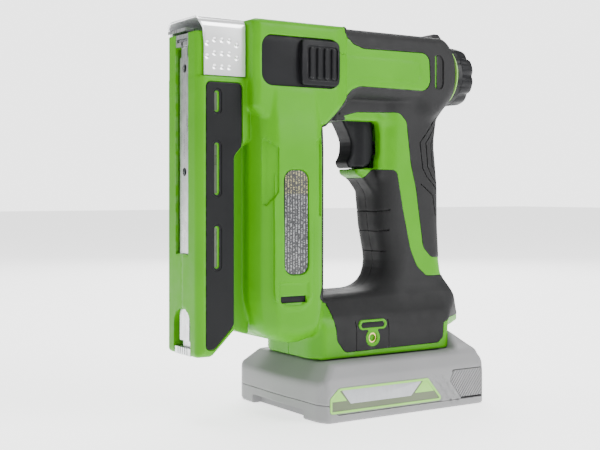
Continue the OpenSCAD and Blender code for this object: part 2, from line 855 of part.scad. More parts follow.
module cell_tabs()
    color([0.8, 0.8, 0.78])
        both()
            for (i = [-2, 0, 2])
                box([19.2*i - 10 - 4, -cell_l/2 - 0.5, 9],
                    [19.2*i + 6 - 4, -cell_l/2 - 0.05, 15]);
module battery_board()
    color([0.1, 0.35, 0.16])
    {
        box([-14, -16, 23.4], [44, 16, 25]);
        for (y = [-12:6:12])
            box([-13.6, y - 2.4, 24.9], [-8, y + 2.4, 29]);
    }
module battery_labels()
    color([0.7, 0.72, 0.72])
        both()
            slab(rp([[-48, 6.5, 1], [20, 6.5, 1], [14, 13, 1], [-48, 13, 1]]),
                -batt_w - 0.2, -batt_w - 0.02);
module release()
{
    slab(rp(box_pts(30.5, 9.5, 45.5, 23.5, 2)), -43.4, -37.2);
    for (i = [0:3])
        box([32.4 + 3.2*i, -44, 12], [33.8 + 3.2*i, -43.2, 21]);
}
module release_left()
    color([0.14, 0.14, 0.15]) release();
module release_right()
    color([0.14, 0.14, 0.15]) mirror([0, 1, 0]) release();

// --- draw ---
housing_left();
housing_right();
rear_grip_left();
rear_grip_right();
lower_grip_left();
lower_grip_right();
side_panel_left();
side_panel_right();
nose_cover();
nose_block();
nose_plate();
mag_channel();
mag_rail();
mag_latch();
brad_strip();
pusher();
pusher_spring();
mech_frame();
bumper();
guide_rod();
main_spring();
spring_seat();
hammer();
driver_blade();
blade_pin();
power_dial();
adjuster_screw();
dial_ring();
motor_can();
motor_cap();
motor_shaft();
sun_gear();
gear_case();
planet_1();
planet_2();
planet_3();
planet_carrier();
lifter_gear();
trigger();
trigger_pin();
switch_body();
switch_plunger();
trigger_spring();
mode_slider();
lock_switch();
control_board();
terminal_block();
wiring();
label_plate();
hook_inserts();
housing_screws();
battery_base();
battery_lid();
cells();
cell_tabs();
battery_board();
battery_labels();
release_left();
release_right();
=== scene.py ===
# Cordless brad nailer and stapler, dressed around its CAD frame.
# Sizes are in millimetres in the sections below and become metres where each mesh is made.
import bpy
import math
import numpy as np
from mathutils import Matrix, Vector


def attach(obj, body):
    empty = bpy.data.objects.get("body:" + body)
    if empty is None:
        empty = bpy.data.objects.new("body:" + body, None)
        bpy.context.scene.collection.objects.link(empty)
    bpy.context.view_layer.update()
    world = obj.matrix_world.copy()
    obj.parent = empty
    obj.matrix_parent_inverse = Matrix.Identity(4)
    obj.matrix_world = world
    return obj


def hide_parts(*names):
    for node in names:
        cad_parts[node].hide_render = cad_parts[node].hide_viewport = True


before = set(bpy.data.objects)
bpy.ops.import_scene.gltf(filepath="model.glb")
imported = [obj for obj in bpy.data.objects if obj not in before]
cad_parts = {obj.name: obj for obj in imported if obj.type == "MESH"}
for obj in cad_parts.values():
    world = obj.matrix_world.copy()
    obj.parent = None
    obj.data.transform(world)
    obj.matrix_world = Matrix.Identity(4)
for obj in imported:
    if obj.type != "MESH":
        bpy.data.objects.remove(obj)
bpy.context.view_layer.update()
MM = 0.001


# ---------------------------------------------------------------- camera, floor and light
# A long lens at bench height looks at the nose and the left side. The floor is pale
# and matt, and big soft panels stand left, right, overhead and in front.
heading = math.radians(33)
camera_place = (-0.3627, -0.4954, 0.118)
lens = bpy.data.cameras.new("camera")
lens.lens = 64.8
lens.sensor_width = 36.0
lens.shift_y = -0.055
lens.clip_end = 20.0
camera = bpy.data.objects.new("camera", lens)
bpy.context.scene.collection.objects.link(camera)
forward = Vector((math.sin(heading), math.cos(heading), 0.0))
camera.matrix_world = Matrix.Translation(camera_place) @ (
    forward.to_track_quat("-Z", "Y").to_matrix().to_4x4())
bpy.context.scene.camera = camera


def new_object(name, vertices, faces, smooth_under=40.0):
    """Make a mesh object from arrays in metres, smooth where faces meet below an angle."""
    mesh = bpy.data.meshes.new(name)
    mesh.from_pydata(vertices, [], faces)
    mesh.validate()
    mesh.shade_smooth()
    mesh.set_sharp_from_angle(angle=math.radians(smooth_under))
    piece = bpy.data.objects.new(name, mesh)
    bpy.context.scene.collection.objects.link(piece)
    return piece


def area_light(name, at, look, size, power):
    """A square soft panel at a place, facing a point, all in metres and watts."""
    panel = bpy.data.lights.new(name, "AREA")
    panel.size = size
    panel.energy = power
    lamp = bpy.data.objects.new(name, panel)
    aim = (Vector(look) - Vector(at)).to_track_quat("-Z", "Y")
    lamp.matrix_world = Matrix.Translation(at) @ aim.to_matrix().to_4x4()
    bpy.context.scene.collection.objects.link(lamp)


area_light("key", (0.75, -1.0, 0.85), (0, 0, 0.1), 0.8, 20.0)
area_light("left", (-1.1, -0.5, 0.35), (0, 0, 0.1), 0.7, 1.4)
area_light("overhead", (-0.1, 0.2, 1.2), (0, 0, 0.1), 0.9, 18.0)
area_light("back", (0.6, 0.9, 0.6), (0, 0, 0.12), 0.7, 9.0)
# The room reads bright where it is seen and gives a weaker fill to the object.
fill_light, seen_light = 0.36, 3.2
world = bpy.data.worlds.new("studio")
world.use_nodes = True
sky = world.node_tree.nodes["Background"]
sky.inputs["Color"].default_value = (1, 1, 1, 1)
rays = world.node_tree.nodes.new("ShaderNodeLightPath")
glow = world.node_tree.nodes.new("ShaderNodeMapRange")
glow.inputs["To Min"].default_value = fill_light
glow.inputs["To Max"].default_value = seen_light
world.node_tree.links.new(rays.outputs["Is Camera Ray"], glow.inputs["Value"])
world.node_tree.links.new(glow.outputs["Result"], sky.inputs["Strength"])
bpy.context.scene.world = world

reach = 6.0
floor = new_object("floor", [(-reach, -reach, 0), (reach, -reach, 0), (reach, reach, 0),
                             (-reach, reach, 0)], [(0, 1, 2, 3)])


# ---------------------------------------------------------------- finishes
# Each finish is a small node network on Object coordinates: a slow colour drift, a
# moulded or brushed grain in roughness and bump, and convex edges lightened by a painted highlight.
class Finish:
    """A material being built: a shader, object coordinates and short ways to add nodes."""

    def __init__(self, name, roughness, metallic=0.0, specular=0.5, coat=0.0):
        self.material = bpy.data.materials.new(name)
        self.material.use_nodes = True
        self.tree = self.material.node_tree
        self.shader = self.tree.nodes["Principled BSDF"]
        self.shader.inputs["Metallic"].default_value = metallic
        self.shader.inputs["Roughness"].default_value = roughness
        self.shader.inputs["Specular IOR Level"].default_value = specular
        self.shader.inputs["Coat Weight"].default_value = coat
        self.shader.inputs["Coat Roughness"].default_value = 0.25
        self.where = self.add("ShaderNodeTexCoord").outputs["Object"]

    def add(self, kind, **values):
        """Add a node and set its properties."""
        node = self.tree.nodes.new(kind)
        for key, value in values.items():
            setattr(node, key, value)
        return node

    def put(self, socket, value):
        """Give a socket a constant or a link."""
        if hasattr(value, "is_output"):
            self.tree.links.new(value, socket)
        elif isinstance(value, tuple) and len(value) == 3 and socket.type == "RGBA":
            socket.default_value = value + (1.0,)
        else:
            socket.default_value = value

    def stretch(self, scale):
        """Object coordinates scaled by three factors."""
        node = self.add("ShaderNodeMapping")
        self.put(node.inputs["Vector"], self.where)
        node.inputs["Scale"].default_value = scale
        return node.outputs["Vector"]

    def noise(self, scale, detail=3.0, vector=None):
        """Cloudy noise, in cycles a metre."""
        node = self.add("ShaderNodeTexNoise")
        self.put(node.inputs["Vector"], vector or self.where)
        node.inputs["Scale"].default_value = scale
        node.inputs["Detail"].default_value = detail
        return node.outputs["Fac"]

    def ramp(self, value, start, end, low=0.0, high=1.0):
        """Map a value from one range to another, clamped."""
        node = self.add("ShaderNodeMapRange")
        self.put(node.inputs["Value"], value)
        for name, number in (("From Min", start), ("From Max", end),
                             ("To Min", low), ("To Max", high)):
            node.inputs[name].default_value = number
        return node.outputs["Result"]

    def mix(self, factor, a, b, blend="MIX"):
        """Mix two colours."""
        node = self.add("ShaderNodeMix", data_type="RGBA", blend_type=blend)
        self.put(node.inputs["Factor"], factor)
        self.put(node.inputs[6], a)
        self.put(node.inputs[7], b)
        return node.outputs[2]

    def math(self, operation, a, b=0.0):
        """One arithmetic step."""
        node = self.add("ShaderNodeMath", operation=operation)
        self.put(node.inputs[0], a)
        self.put(node.inputs[1], b)
        return node.outputs[0]

    def painted_edge_highlight(self, colour, lighter, amount=0.5):
        """Painted highlight: lighten convex edges, broken up by noise."""
        edge = self.ramp(self.add("ShaderNodeNewGeometry").outputs["Pointiness"], 0.53, 0.62)
        patchy = self.ramp(self.noise(240.0), 0.42, 0.62, 0.0, amount)
        return self.mix(self.math("MULTIPLY", edge, patchy), colour, lighter)

    def bump(self, height, strength, depth):
        """Bump from a height, with a depth in metres."""
        node = self.add("ShaderNodeBump")
        node.inputs["Strength"].default_value = strength
        node.inputs["Distance"].default_value = depth
        self.put(node.inputs["Height"], height)
        self.put(self.shader.inputs["Normal"], node.outputs["Normal"])

    def finish(self, colour, roughness=None):
        """Connect colour and roughness, and hand over the material."""
        self.put(self.shader.inputs["Base Color"], colour)
        if roughness is not None:
            self.put(self.shader.inputs["Roughness"], roughness)
        return self.material


def moulded_plastic(name, colour, rough, drift=0.08, grain=0.25, specular=0.5, coat=0.0):
    """Moulded plastic: slow drift in colour, a spark-eroded grain, convex edges lightened by a painted
    highlight.
    """
    f = Finish(name, rough, specular=specular, coat=coat)
    dark = tuple(c*(1 - drift) for c in colour)
    light = tuple(min(1, c*(1 + drift)) for c in colour)
    body = f.mix(f.ramp(f.noise(35.0), 0.35, 0.65), dark, light)
    # pale is the colour of the painted highlight on convex edges.
    pale = tuple(min(1, 0.6*c + 0.25) for c in colour)
    f.bump(f.noise(2600.0, 2.0), grain, 0.00012)
    return f.finish(f.painted_edge_highlight(body, pale, 0.28),
                    f.ramp(f.noise(140.0, 4.0), 0.3, 0.7, rough - 0.06, rough + 0.08))


def metal(name, colour, rough, brush=(1, 1, 1), grain=0.2):
    """Bare metal: a brushed streak along one axis, handling marks and a painted highlight on convex
    edges.
    """
    f = Finish(name, rough, metallic=1.0)
    streak = f.noise(900.0, 4.0, f.stretch(brush))
    smear = f.noise(60.0, 3.0)
    body = f.mix(f.ramp(smear, 0.3, 0.7), tuple(0.9*c for c in colour), colour)
    f.bump(streak, grain, 0.00003)
    # The 1.2 times brighter edge colour is a painted highlight.
    return f.finish(f.painted_edge_highlight(body, tuple(min(1, 1.2*c) for c in colour), 0.6),
                    f.ramp(streak, 0.3, 0.7, rough - 0.07, rough + 0.1))


lime = moulded_plastic("lime_shell", (0.060, 0.285, 0.001), 0.42, 0.05, 0.12, 0.18)
soft_grip = moulded_plastic("soft_grip", (0.0145, 0.0145, 0.0152), 0.6, 0.12, 0.6, 0.2)
black_plastic = moulded_plastic("black_plastic", (0.0075, 0.0078, 0.009), 0.42, 0.1, 0.35, 0.15)
pack_grey = moulded_plastic("pack_grey", (0.25, 0.25, 0.255), 0.5, 0.05, 0.3, 0.35)
bright_steel = metal("bright_steel", (0.72, 0.74, 0.74), 0.3, (1, 1, 0.06))
floor_finish = Finish("pale_floor", 0.7)
floor_finish.shader.inputs["Emission Color"].default_value = (1, 1, 1, 1)
floor_finish.shader.inputs["Emission Strength"].default_value = 1.9
cloud = floor_finish.noise(3.0)
floor.data.materials.append(floor_finish.finish(
    floor_finish.mix(cloud, (0.9, 0.9, 0.9), (0.93, 0.93, 0.93)),
    floor_finish.ramp(cloud, 0.3, 0.7, 0.6, 0.75)))


# ---------------------------------------------------------------- green housings
# Two glossy nylon halves, left and right, screwed together along the middle. Each is a
# shell 2.6 mm thick with the nose column, motor tower, barrel, handle and foot in one.
def rounded_outline(corners, step=12.0):
    """Replace each corner (x, y, radius) of a closed outline by an arc of that radius."""
    points = []
    count = len(corners)
    for i, (x, y, radius) in enumerate(corners):
        here = np.array((x, y), float)
        before = here - np.array(corners[i - 1][:2], float)
        after = np.array(corners[(i + 1) % count][:2], float) - here
        d0, d1 = before/np.linalg.norm(before), after/np.linalg.norm(after)
        turn = math.atan2(d0[0]*d1[1] - d0[1]*d1[0], d0 @ d1)
        if abs(turn) < 0.02 or radius <= 0:
            points.append(here)
            continue
        room = 0.48*min(np.linalg.norm(before), np.linalg.norm(after))
        reach = min(radius*math.tan(abs(turn)/2), room)
        radius = reach/math.tan(abs(turn)/2)
        side = math.copysign(1, turn)
        normal = np.array((-d0[1], d0[0]))*side
        centre = here - d0*reach + normal*radius
        count_arc = max(2, int(abs(math.degrees(turn))/step) + 1)
        for t in np.linspace(0, turn, count_arc):
            c, s = math.cos(t), math.sin(t)
            spoke = -normal*radius
            points.append(centre + np.array((c*spoke[0] - s*spoke[1], s*spoke[0] + c*spoke[1])))
    return np.array(points)


class Outline:
    """Signed distance to a closed outline, worked out once on a fine grid and looked up.

    Distance is the least over the edges, and its sign comes from how often a ray crosses."""

    def __init__(self, corners, fine=0.25, margin=14.0):
        p = rounded_outline(corners)
        self.fine = fine
        self.low = p.min(0) - margin
        size = ((p.max(0) + margin - self.low)/fine).astype(int) + 2
        u = self.low[0] + fine*np.arange(size[0])[:, None]
        v = self.low[1] + fine*np.arange(size[1])[None, :]
        best = np.full(size, 1e9)
        crossed = np.zeros(size, bool)
        for a, b in zip(p, np.roll(p, -1, 0)):
            e = b - a
            t = np.clip(((u - a[0])*e[0] + (v - a[1])*e[1])/(e @ e), 0, 1)
            best = np.minimum(best, (u - a[0] - t*e[0])**2 + (v - a[1] - t*e[1])**2)
            if a[1] != b[1]:
                over = (a[1] > v) != (b[1] > v)
                crossed ^= over & (u < a[0] + (v - a[1])*e[0]/e[1])
        self.table = np.where(crossed, -1, 1)*np.sqrt(best)
        self.table = self.table.astype(np.float32)

    def __call__(self, u, v):
        """Bilinear look-up, with the distance to the grid added outside it."""
        a = (u - self.low[0])/self.fine
        b = (v - self.low[1])/self.fine
        a, b = np.broadcast_arrays(a, b)
        na, nb = self.table.shape
        ca, cb = np.clip(a, 0, na - 1.001), np.clip(b, 0, nb - 1.001)
        i, j = ca.astype(int), cb.astype(int)
        s, t = ca - i, cb - j
        f = self.table
        near = ((f[i, j]*(1 - s) + f[i + 1, j]*s)*(1 - t)
                + (f[i, j + 1]*(1 - s) + f[i + 1, j + 1]*s)*t)
        return near + self.fine*np.hypot(a - ca, b - cb)


def both(a, b, radius=0.0):
    """Inside both fields, with the edge between them rounded to a radius."""
    if radius == 0:
        return np.maximum(a, b)
    p, q = np.maximum(a + radius, 0), np.maximum(b + radius, 0)
    return np.sqrt(p*p + q*q) + np.minimum(np.maximum(a + radius, b + radius), 0) - radius


def either(a, b, blend=0.0):
    """Inside one field or the other, with a fillet as wide as blend."""
    if blend == 0:
        return np.minimum(a, b)
    h = np.maximum(blend - np.abs(a - b), 0)/blend
    return np.minimum(a, b) - h*h*blend/4


def less(a, b, radius=0.0):
    """The first field with the second cut out of it."""
    return both(a, -b, radius)


def brick(x, y, z, low, high, radius=0.0):
    """A box between two corners with rounded edges."""
    q = [np.abs(v - (a + b)/2) - (b - a)/2 + radius
         for v, a, b in zip((x, y, z), low, high)]
    outside = np.sqrt(sum(np.maximum(v, 0)**2 for v in q))
    return outside + np.minimum(np.maximum(np.maximum(q[0], q[1]), q[2]), 0) - radius


DIAL_Z = 186.5
SEAM_GAP = 0.12
COLUMN_HALF, HEAD_HALF, BARREL_HALF, HANDLE_HALF = 18.0, 26.5, 23.5, 17.0
column_side = Outline([(-113, 34.9, 2), (-104, 34.9, 3), (-90.8, 47.5, 3), (-90.8, 136, 4),
                       (-86, 141, 3), (-81, 144, 3), (-81, 205, 3), (-113, 205, 3)])
web_side = Outline([(-95, 49, 1), (-80, 44, 1), (-80, 150, 1), (-95, 150, 1)])
tower_plan = Outline([(-85.6, -17, 2.5), (-80.5, -25, 4), (-73, -29.5, 5), (-46, -29.5, 9),
                      (-37, -17, 12), (-33.5, 0, 20), (-37, 17, 12), (-46, 29.5, 9),
                      (-73, 29.5, 5), (-80.5, 25, 4), (-85.6, 17, 2.5)])
tower_side = Outline([(-85.8, 64, 14), (-77, 44, 14), (-60, 38.2, 22), (-44, 44, 12),
                      (-34, 66, 14), (-30, 178, 3), (-85.8, 178, 3)])
barrel_side = Outline([(-60, 160, 3), (-33, 160, 3), (-18, 169.2, 8), (26, 169.2, 6),
                       (32, 160, 8), (45, 160, 6), (55.6, 167.4, 4),
                       (55.6, 201, 10), (50, 206.6, 8), (-60, 206.6, 0)])
barrel_plan = Outline([(-70, -23.5, 0), (36, -23.5, 24), (55.6, -19, 1.5), (55.6, 19, 1.5),
                       (36, 23.5, 24), (-70, 23.5, 0)])
surround_side = Outline([(2.2, 126, 3), (22, 122, 6), (24, 162, 0), (2.2, 162, 0)])
head_plan = Outline([(-85.3, -24.5, 2), (-82, -26.5, 3), (-36, -26.5, 8), (-25.5, -23.4, 3),
                     (-25.5, 23.4, 3), (-36, 26.5, 8), (-82, 26.5, 3), (-85.3, 24.5, 2)])
head_side = Outline([(-85.3, 161.5, 2), (-76.5, 152.5, 4), (-40, 152.5, 3), (-33, 160, 3),
                     (-25, 166, 8), (-25, 206.5, 3), (-85.3, 206.5, 3)])
handle_side = Outline([(22, 180, 0), (6, 168, 6), (3.8, 150, 6), (2.6, 123, 16), (5.2, 98, 26),
                       (9.6, 77, 18), (0, 58, 10), (2, 36, 0), (48, 36, 0), (55, 56, 18),
                       (49.2, 76, 26), (47.8, 98, 40), (47.6, 122, 30), (45.0, 146, 20),
                       (47.5, 162, 8), (52, 182, 0)])
foot_plan = Outline([(-49, -19, 14), (-44.5, -28.6, 4), (40, -28.6, 7), (47, -23, 8),
                     (64.5, -9, 9), (64.5, 9, 9), (47, 23, 8), (40, 28.6, 7), (-44.5, 28.6, 4),
                     (-49, 19, 14)])
foot_side = Outline([(-49, 29.9, 0.5), (41.5, 29.9, 0.5), (41.5, 42.3, 1), (64.5, 42.3, 2),
                     (63.2, 47, 3), (55.5, 56, 20), (50, 64, 3), (-40, 62.4, 6), (-49, 50, 8)])
lip_side = Outline([(-9.5, 131.6, 2), (-9, 128, 3), (-3, 125, 6), (6, 114, 0), (14, 114, 0),
                    (14, 131.6, 0)])
collar_side = Outline([(-75.4, 57.5, 9), (-52.2, 57.5, 9), (-52.2, 134.5, 5), (-75.4, 134.5, 5)])


def nailer(x, y, z):
    """The whole moulded body as one field: its masses, joined with fillets."""
    w = np.abs(y)
    column = both(column_side(x, z), w - COLUMN_HALF, 4.2)
    neck = brick(x, y, z, (-113, -16.4, 165), (-80, 16.4, 204.8), 2.5)
    column = either(both(column, z - 176.2, 0.5), neck, 0.3)
    web = both(web_side(x, z), w - 11.0, 1.0)
    waist = np.clip((z - 138)/34, 0, 1)
    tower = both(tower_plan(x, y*(1 + 0.112*waist*waist*(3 - 2*waist))), tower_side(x, z), 9.0)
    head = both(both(head_side(x, z), w - HEAD_HALF, 4.5), head_plan(x, y), 1.0)
    barrel = both(both(barrel_side(x, z), w - BARREL_HALF, 9.0), barrel_plan(x, y), 1.5)
    barrel = both(barrel, np.hypot(y, z - DIAL_Z) - 19.3 - 0.8*(55.6 - x), 3.0)
    guard = brick(x, y, z, (-28.5, -14.5, 156.8), (24, 14.5, 176), 2.2)
    surround = both(surround_side(x, z), w - 14.2, 3.0)
    handle = both(handle_side(x, z), w - HANDLE_HALF, 11.5)
    slope = ((w - 28.6)*14.5 + (z - 48.5)*12.0)/18.82
    foot = both(both(foot_side(x, z), foot_plan(x, y), 1.5), slope, 3.0)
    lip = both(lip_side(x, z), w - 9.6, 2.5)
    body = either(either(head, barrel, 0.4), tower, 0.2)
    collar = both(collar_side(x, z), w - 30.1 + 1.2*np.clip((z - 96)/34, 0, 1), 0.5)
    body = either(body, both(collar, 20 - w), 0.2)
    grip = either(either(either(handle, foot, 9.0), surround, 2.5), lip, 2.0)
    body = either(either(body, guard, 2.0), grip, 4.0)
    return either(either(body, web, 2.0), column, 1.2)


def contour(field, low, high, step):
    """Mesh where a field is zero by dual contouring.

    A vertex sits in each cell that the surface passes through, at the point that best
    fits the tangent planes where the surface cuts the cell's edges, so creases stay crisp.
    A quad joins the four cells round each cut edge."""
    axes = [np.arange(a, b + step, step, dtype=np.float32) for a, b in zip(low, high)]
    n = [len(a) for a in axes]
    value = field(axes[0][:, None, None], axes[1][None, :, None], axes[2][None, None, :])
    value = np.broadcast_to(value, n)
    inside = value < 0
    sums = np.zeros((13, n[0]*n[1]*n[2]), np.float32)
    stride = np.array((n[1]*n[2], n[2], 1))
    quads = []
    for axis in range(3):
        first = [slice(None)]*3
        second = [slice(None)]*3
        first[axis], second[axis] = slice(0, -1), slice(1, None)
        cut = np.argwhere(inside[tuple(first)] != inside[tuple(second)])
        other = [a for a in range(3) if a != axis]
        keep = (cut[:, other] > 0).all(1)
        cut = cut[keep]
        nxt = cut.copy()
        nxt[:, axis] += 1
        f0 = value[tuple(cut.T)].astype(np.float64)
        f1 = value[tuple(nxt.T)].astype(np.float64)
        point = np.stack([axes[a][cut[:, a]] for a in range(3)], 1).astype(np.float64)
        start = point[:, axis].copy()
        flip = (f0 > 0) ^ (axis == 1)
        t0, t1 = np.zeros(len(cut)), np.ones(len(cut))
        for _ in range(3):
            t = t0 + (t1 - t0)*f0/(f0 - f1)
            point[:, axis] = start + t*step
            f = field(*point.T)
            same = (f < 0) == (f0 < 0)
            t0, f0 = np.where(same, t, t0), np.where(same, f, f0)
            t1, f1 = np.where(same, t1, t), np.where(same, f1, f)
        point[:, axis] = start + (t0 + (t1 - t0)*f0/(f0 - f1))*step
        grad = np.empty_like(point)
        nudge = 0.3*step
        for a in range(3):
            d = np.zeros(3)
            d[a] = nudge
            grad[:, a] = field(*(point + d).T) - field(*(point - d).T)
        grad /= np.maximum(np.linalg.norm(grad, axis=1, keepdims=True), 1e-9)
        base = cut @ stride
        parts = [np.ones(len(cut)), *point.T]
        pairs = [(0, 0), (0, 1), (0, 2), (1, 1), (1, 2), (2, 2)]
        parts += [grad[:, i]*grad[:, j] for i, j in pairs]
        dot = (grad*point).sum(1)
        parts += [grad[:, i]*dot for i in range(3)]
        ring = [base, base - stride[other[0]], base - stride[other[0]] - stride[other[1]],
                base - stride[other[1]]]
        for cell in ring:
            for k, part in enumerate(parts):
                sums[k] += np.bincount(cell, part, sums.shape[1]).astype(np.float32)
        quad = np.stack(ring, 1)
        quads.append(np.where(flip[:, None], quad[:, ::-1], quad))
    used = np.flatnonzero(sums[0])
    s = sums[:, used].astype(np.float64)
    centre = (s[1:4]/s[0]).T
    matrix = np.empty((len(used), 3, 3))
    for k, (i, j) in enumerate([(0, 0), (0, 1), (0, 2), (1, 1), (1, 2), (2, 2)]):
        matrix[:, i, j] = matrix[:, j, i] = s[4 + k]
    right = s[10:13].T - np.einsum("nij,nj->ni", matrix, centre)
    matrix += 0.04*s[0][:, None, None]*np.eye(3)
    move = np.linalg.solve(matrix, right[..., None])[..., 0]
    cell = np.stack(np.unravel_index(used, n), 1)
    corner = np.stack([axes[a][cell[:, a]] for a in range(3)], 1)
    place = np.clip(centre + move, corner - 0.05*step, corner + 1.05*step)
    number = np.zeros(sums.shape[1], int)
    number[used] = np.arange(len(used))
    return place, number[np.concatenate(quads)]


def contoured(name, field, low, high, step, hollow=None, coarse=2.0, smooth_under=38.0):
    """A closed piece from a field, with an optional cavity field meshed more coarsely."""
    place, quads = contour(field, low, high, step)
    if hollow is not None:
        inner, inner_quads = contour(lambda x, y, z: -hollow(x, y, z), low, high, coarse)
        quads = np.concatenate([quads, inner_quads + len(place)])
        place = np.concatenate([place, inner])
    return new_object(name, place*MM, quads.tolist(), smooth_under)


def closed_loft(name, rings, smooth_under=40.0):
    """Join rings of points, an array (ring, point, 3) in mm, into a closed capped piece."""
    count, around = rings.shape[:2]
    index = np.arange(count*around).reshape(count, around)
    a, b = index[:-1], index[1:]
    quads = np.stack([a, np.roll(a, -1, 1), np.roll(b, -1, 1), b], -1).reshape(-1, 4).tolist()
    faces = quads + [index[0, ::-1].tolist(), index[-1].tolist()]
    piece = new_object(name, rings.reshape(-1, 3)*MM, faces, smooth_under)
    centre = rings[count//2].mean(0)
    ring = rings[count//2]
    spin = np.cross(ring - centre, np.roll(ring, -1, 0) - centre).sum(0)
    if spin @ (rings[-1].mean(0) - rings[0].mean(0)) > 0:
        return piece
    piece.data.flip_normals()
    return piece


def inset(points, amount):
    """Move each point of an outline inwards along the mean of its two edge normals."""
    e0 = points - np.roll(points, 1, 0)
    e1 = np.roll(points, -1, 0) - points
    n = [np.stack([-e[:, 1], e[:, 0]], 1)/np.linalg.norm(e, axis=1, keepdims=True)
         for e in (e0, e1)]
    area = (points[:, 0]*np.roll(points[:, 1], -1) - np.roll(points[:, 0], -1)*points[:, 1]).sum()
    both_ways = n[0] + n[1]
    both_ways /= np.maximum((both_ways*both_ways).sum(1, keepdims=True)/2, 0.3)
    return points + math.copysign(amount, area)*both_ways


def plate(name, corners, across, low, high, bevel):
    """An outline extruded across an axis, with both rims rounded over by a bevel."""
    outline = rounded_outline(corners)
    arc = np.linspace(0, np.pi/2, 4)
    inward, rise = bevel*(1 - np.sin(arc)), bevel*(1 - np.cos(arc))
    levels = [(low + d, i) for d, i in zip(rise, inward)]
    levels += [(high - d, i) for d, i in zip(rise[::-1], inward[::-1])]
    rings = []
    for level, amount in levels:
        flat = inset(outline, amount)
        rings.append(np.insert(flat, {"x": 0, "y": 1, "z": 2}[across], level, axis=1))
    return closed_loft(name, np.array(rings), 35)


trigger_pocket = Outline([(-26, 130.8, 1), (-5, 130.8, 3), (0.6, 132.4, 5), (3.3, 138.6, 7),
                          (3.3, 150, 5), (2.4, 157.2, 3), (-26, 157.2, 1)])
slot_heights = [(79.3, 100.9), (116.4, 142.9), (158.2, 169.1)]
panel_outline = Outline([(-108.7, 38.6, 2.5), (-103.6, 38.4, 3), (-91.8, 50.4, 3),
                         (-91.8, 136.2, 4), (-87.4, 141, 3), (-87.4, 173.8, 3),
                         (-108.7, 173.8, 3)])
track_outline = Outline([(-81, 172.4, 6.5), (-32.4, 172.4, 6.5), (-32.4, 198.6, 6.5),
                         (-81, 198.6, 6.5)])
label_outline = Outline([(-69.8, 75.2, 5.5), (-54.6, 75.2, 5.5), (-54.6, 129.6, 5.5),
                         (-69.8, 129.6, 5.5)])
cheek_front = Outline([(-79, 146, 0.6), (-72.6, 140.5, 0.6), (-72.6, 118, 0.6),
                       (-79, 110, 0.6)])
cheek_rear = Outline([(-49.9, 143, 0.6), (-46.4, 148, 0.6), (-46.4, 104, 0.6),
                      (-49.9, 110, 0.6)])
vent_panel = Outline([(-73, 60, 5.5), (-54.6, 60, 5.5), (-54.6, 71.5, 0.8), (-73, 71.5, 0.8)])
rear_zone = Outline([(-28.4, 212, 0), (-28.2, 203.4, 4), (-21.6, 197.8, 4), (-14.5, 195.8, 5),
                     (31.2, 196.4, 5.5), (32.4, 175, 6.5), (-17, 175.4, 5), (-22.4, 173.2, 4),
                     (-34.2, 160.0, 1), (-28, 158, 1), (-13, 161.8, 3), (14.5, 162.6, 6),
                     (19.6, 157.6, 5), (22.6, 134, 20), (26.3, 120.3, 20), (31.6, 86.5, 6),
                     (37.5, 80.7, 4), (62, 79.5, 0), (62, 212, 0)])
lower_zone = Outline([(-14, 126.4, 1), (-5.5, 125.2, 4), (0.5, 130.6, 4),
                      (12.9, 130.4, 3.5), (17.1, 108.7, 20), (22.6, 85.5, 14), (27.3, 75.9, 8),
                      (34, 70.4, 5), (62, 69.9, 0), (74, 62, 0), (74, 45.4, 0), (44.6, 46.8, 1),
                      (37.2, 44.6, 1.5), (36.6, 36.4, 2.5), (33, 33.4, 1.5), (-31, 32.8, 4),
                      (-36.2, 39.2, 4), (-37.4, 52, 3), (-38.5, 68, 3), (-20, 68, 3),
                      (-16, 100, 10)])
loop_zone = Outline([(-48, 62, 2), (-36, 58, 2), (-22, 66.5, 2), (-22, 120, 3), (-16, 150, 3),
                     (-24, 163.5, 1), (-31.5, 162, 1), (-45.4, 150.5, 5), (-45.4, 68, 5)])


def chain(u, v, points):
    """Distance from places to a broken line."""
    best = 1e9
    for a, b in zip(points[:-1], points[1:]):
        a, e = np.array(a, float), np.subtract(b, a).astype(float)
        t = np.clip(((u - a[0])*e[0] + (v - a[1])*e[1])/(e @ e), 0, 1)
        best = np.minimum(best, np.hypot(u - a[0] - t*e[0], v - a[1] - t*e[1]))
    return best


def engrave(body, line, width, depth, skin):
    """Cut a groove where the line distance is under half its width, as deep as said."""
    return less(body, both(line - width/2, -(skin + depth)), 0.08)


inlay_line = [(-32.3, 191.8), (9.9, 191.8), (20.6, 191.6), (23.0, 190.7), (24.1, 188.4),
              (24.1, 182.4), (23.2, 180.3), (20.8, 179.4), (-32.3, 179.4)]


screw_places = [(-40.6, 150), (-79, 152), (47, 172), (41, 140), (20, 112), (42, 84), (-42, 46),
                (57, 50.5)]


def screw_holes(x, y, z, radius):
    """Distance to the round holes over the eight screws, which go in from the right."""
    hole = 1e9
    for across, up in screw_places:
        hole = np.minimum(hole, np.hypot(x - across, z - up) - radius)
    return both(hole, 11.5 - y)


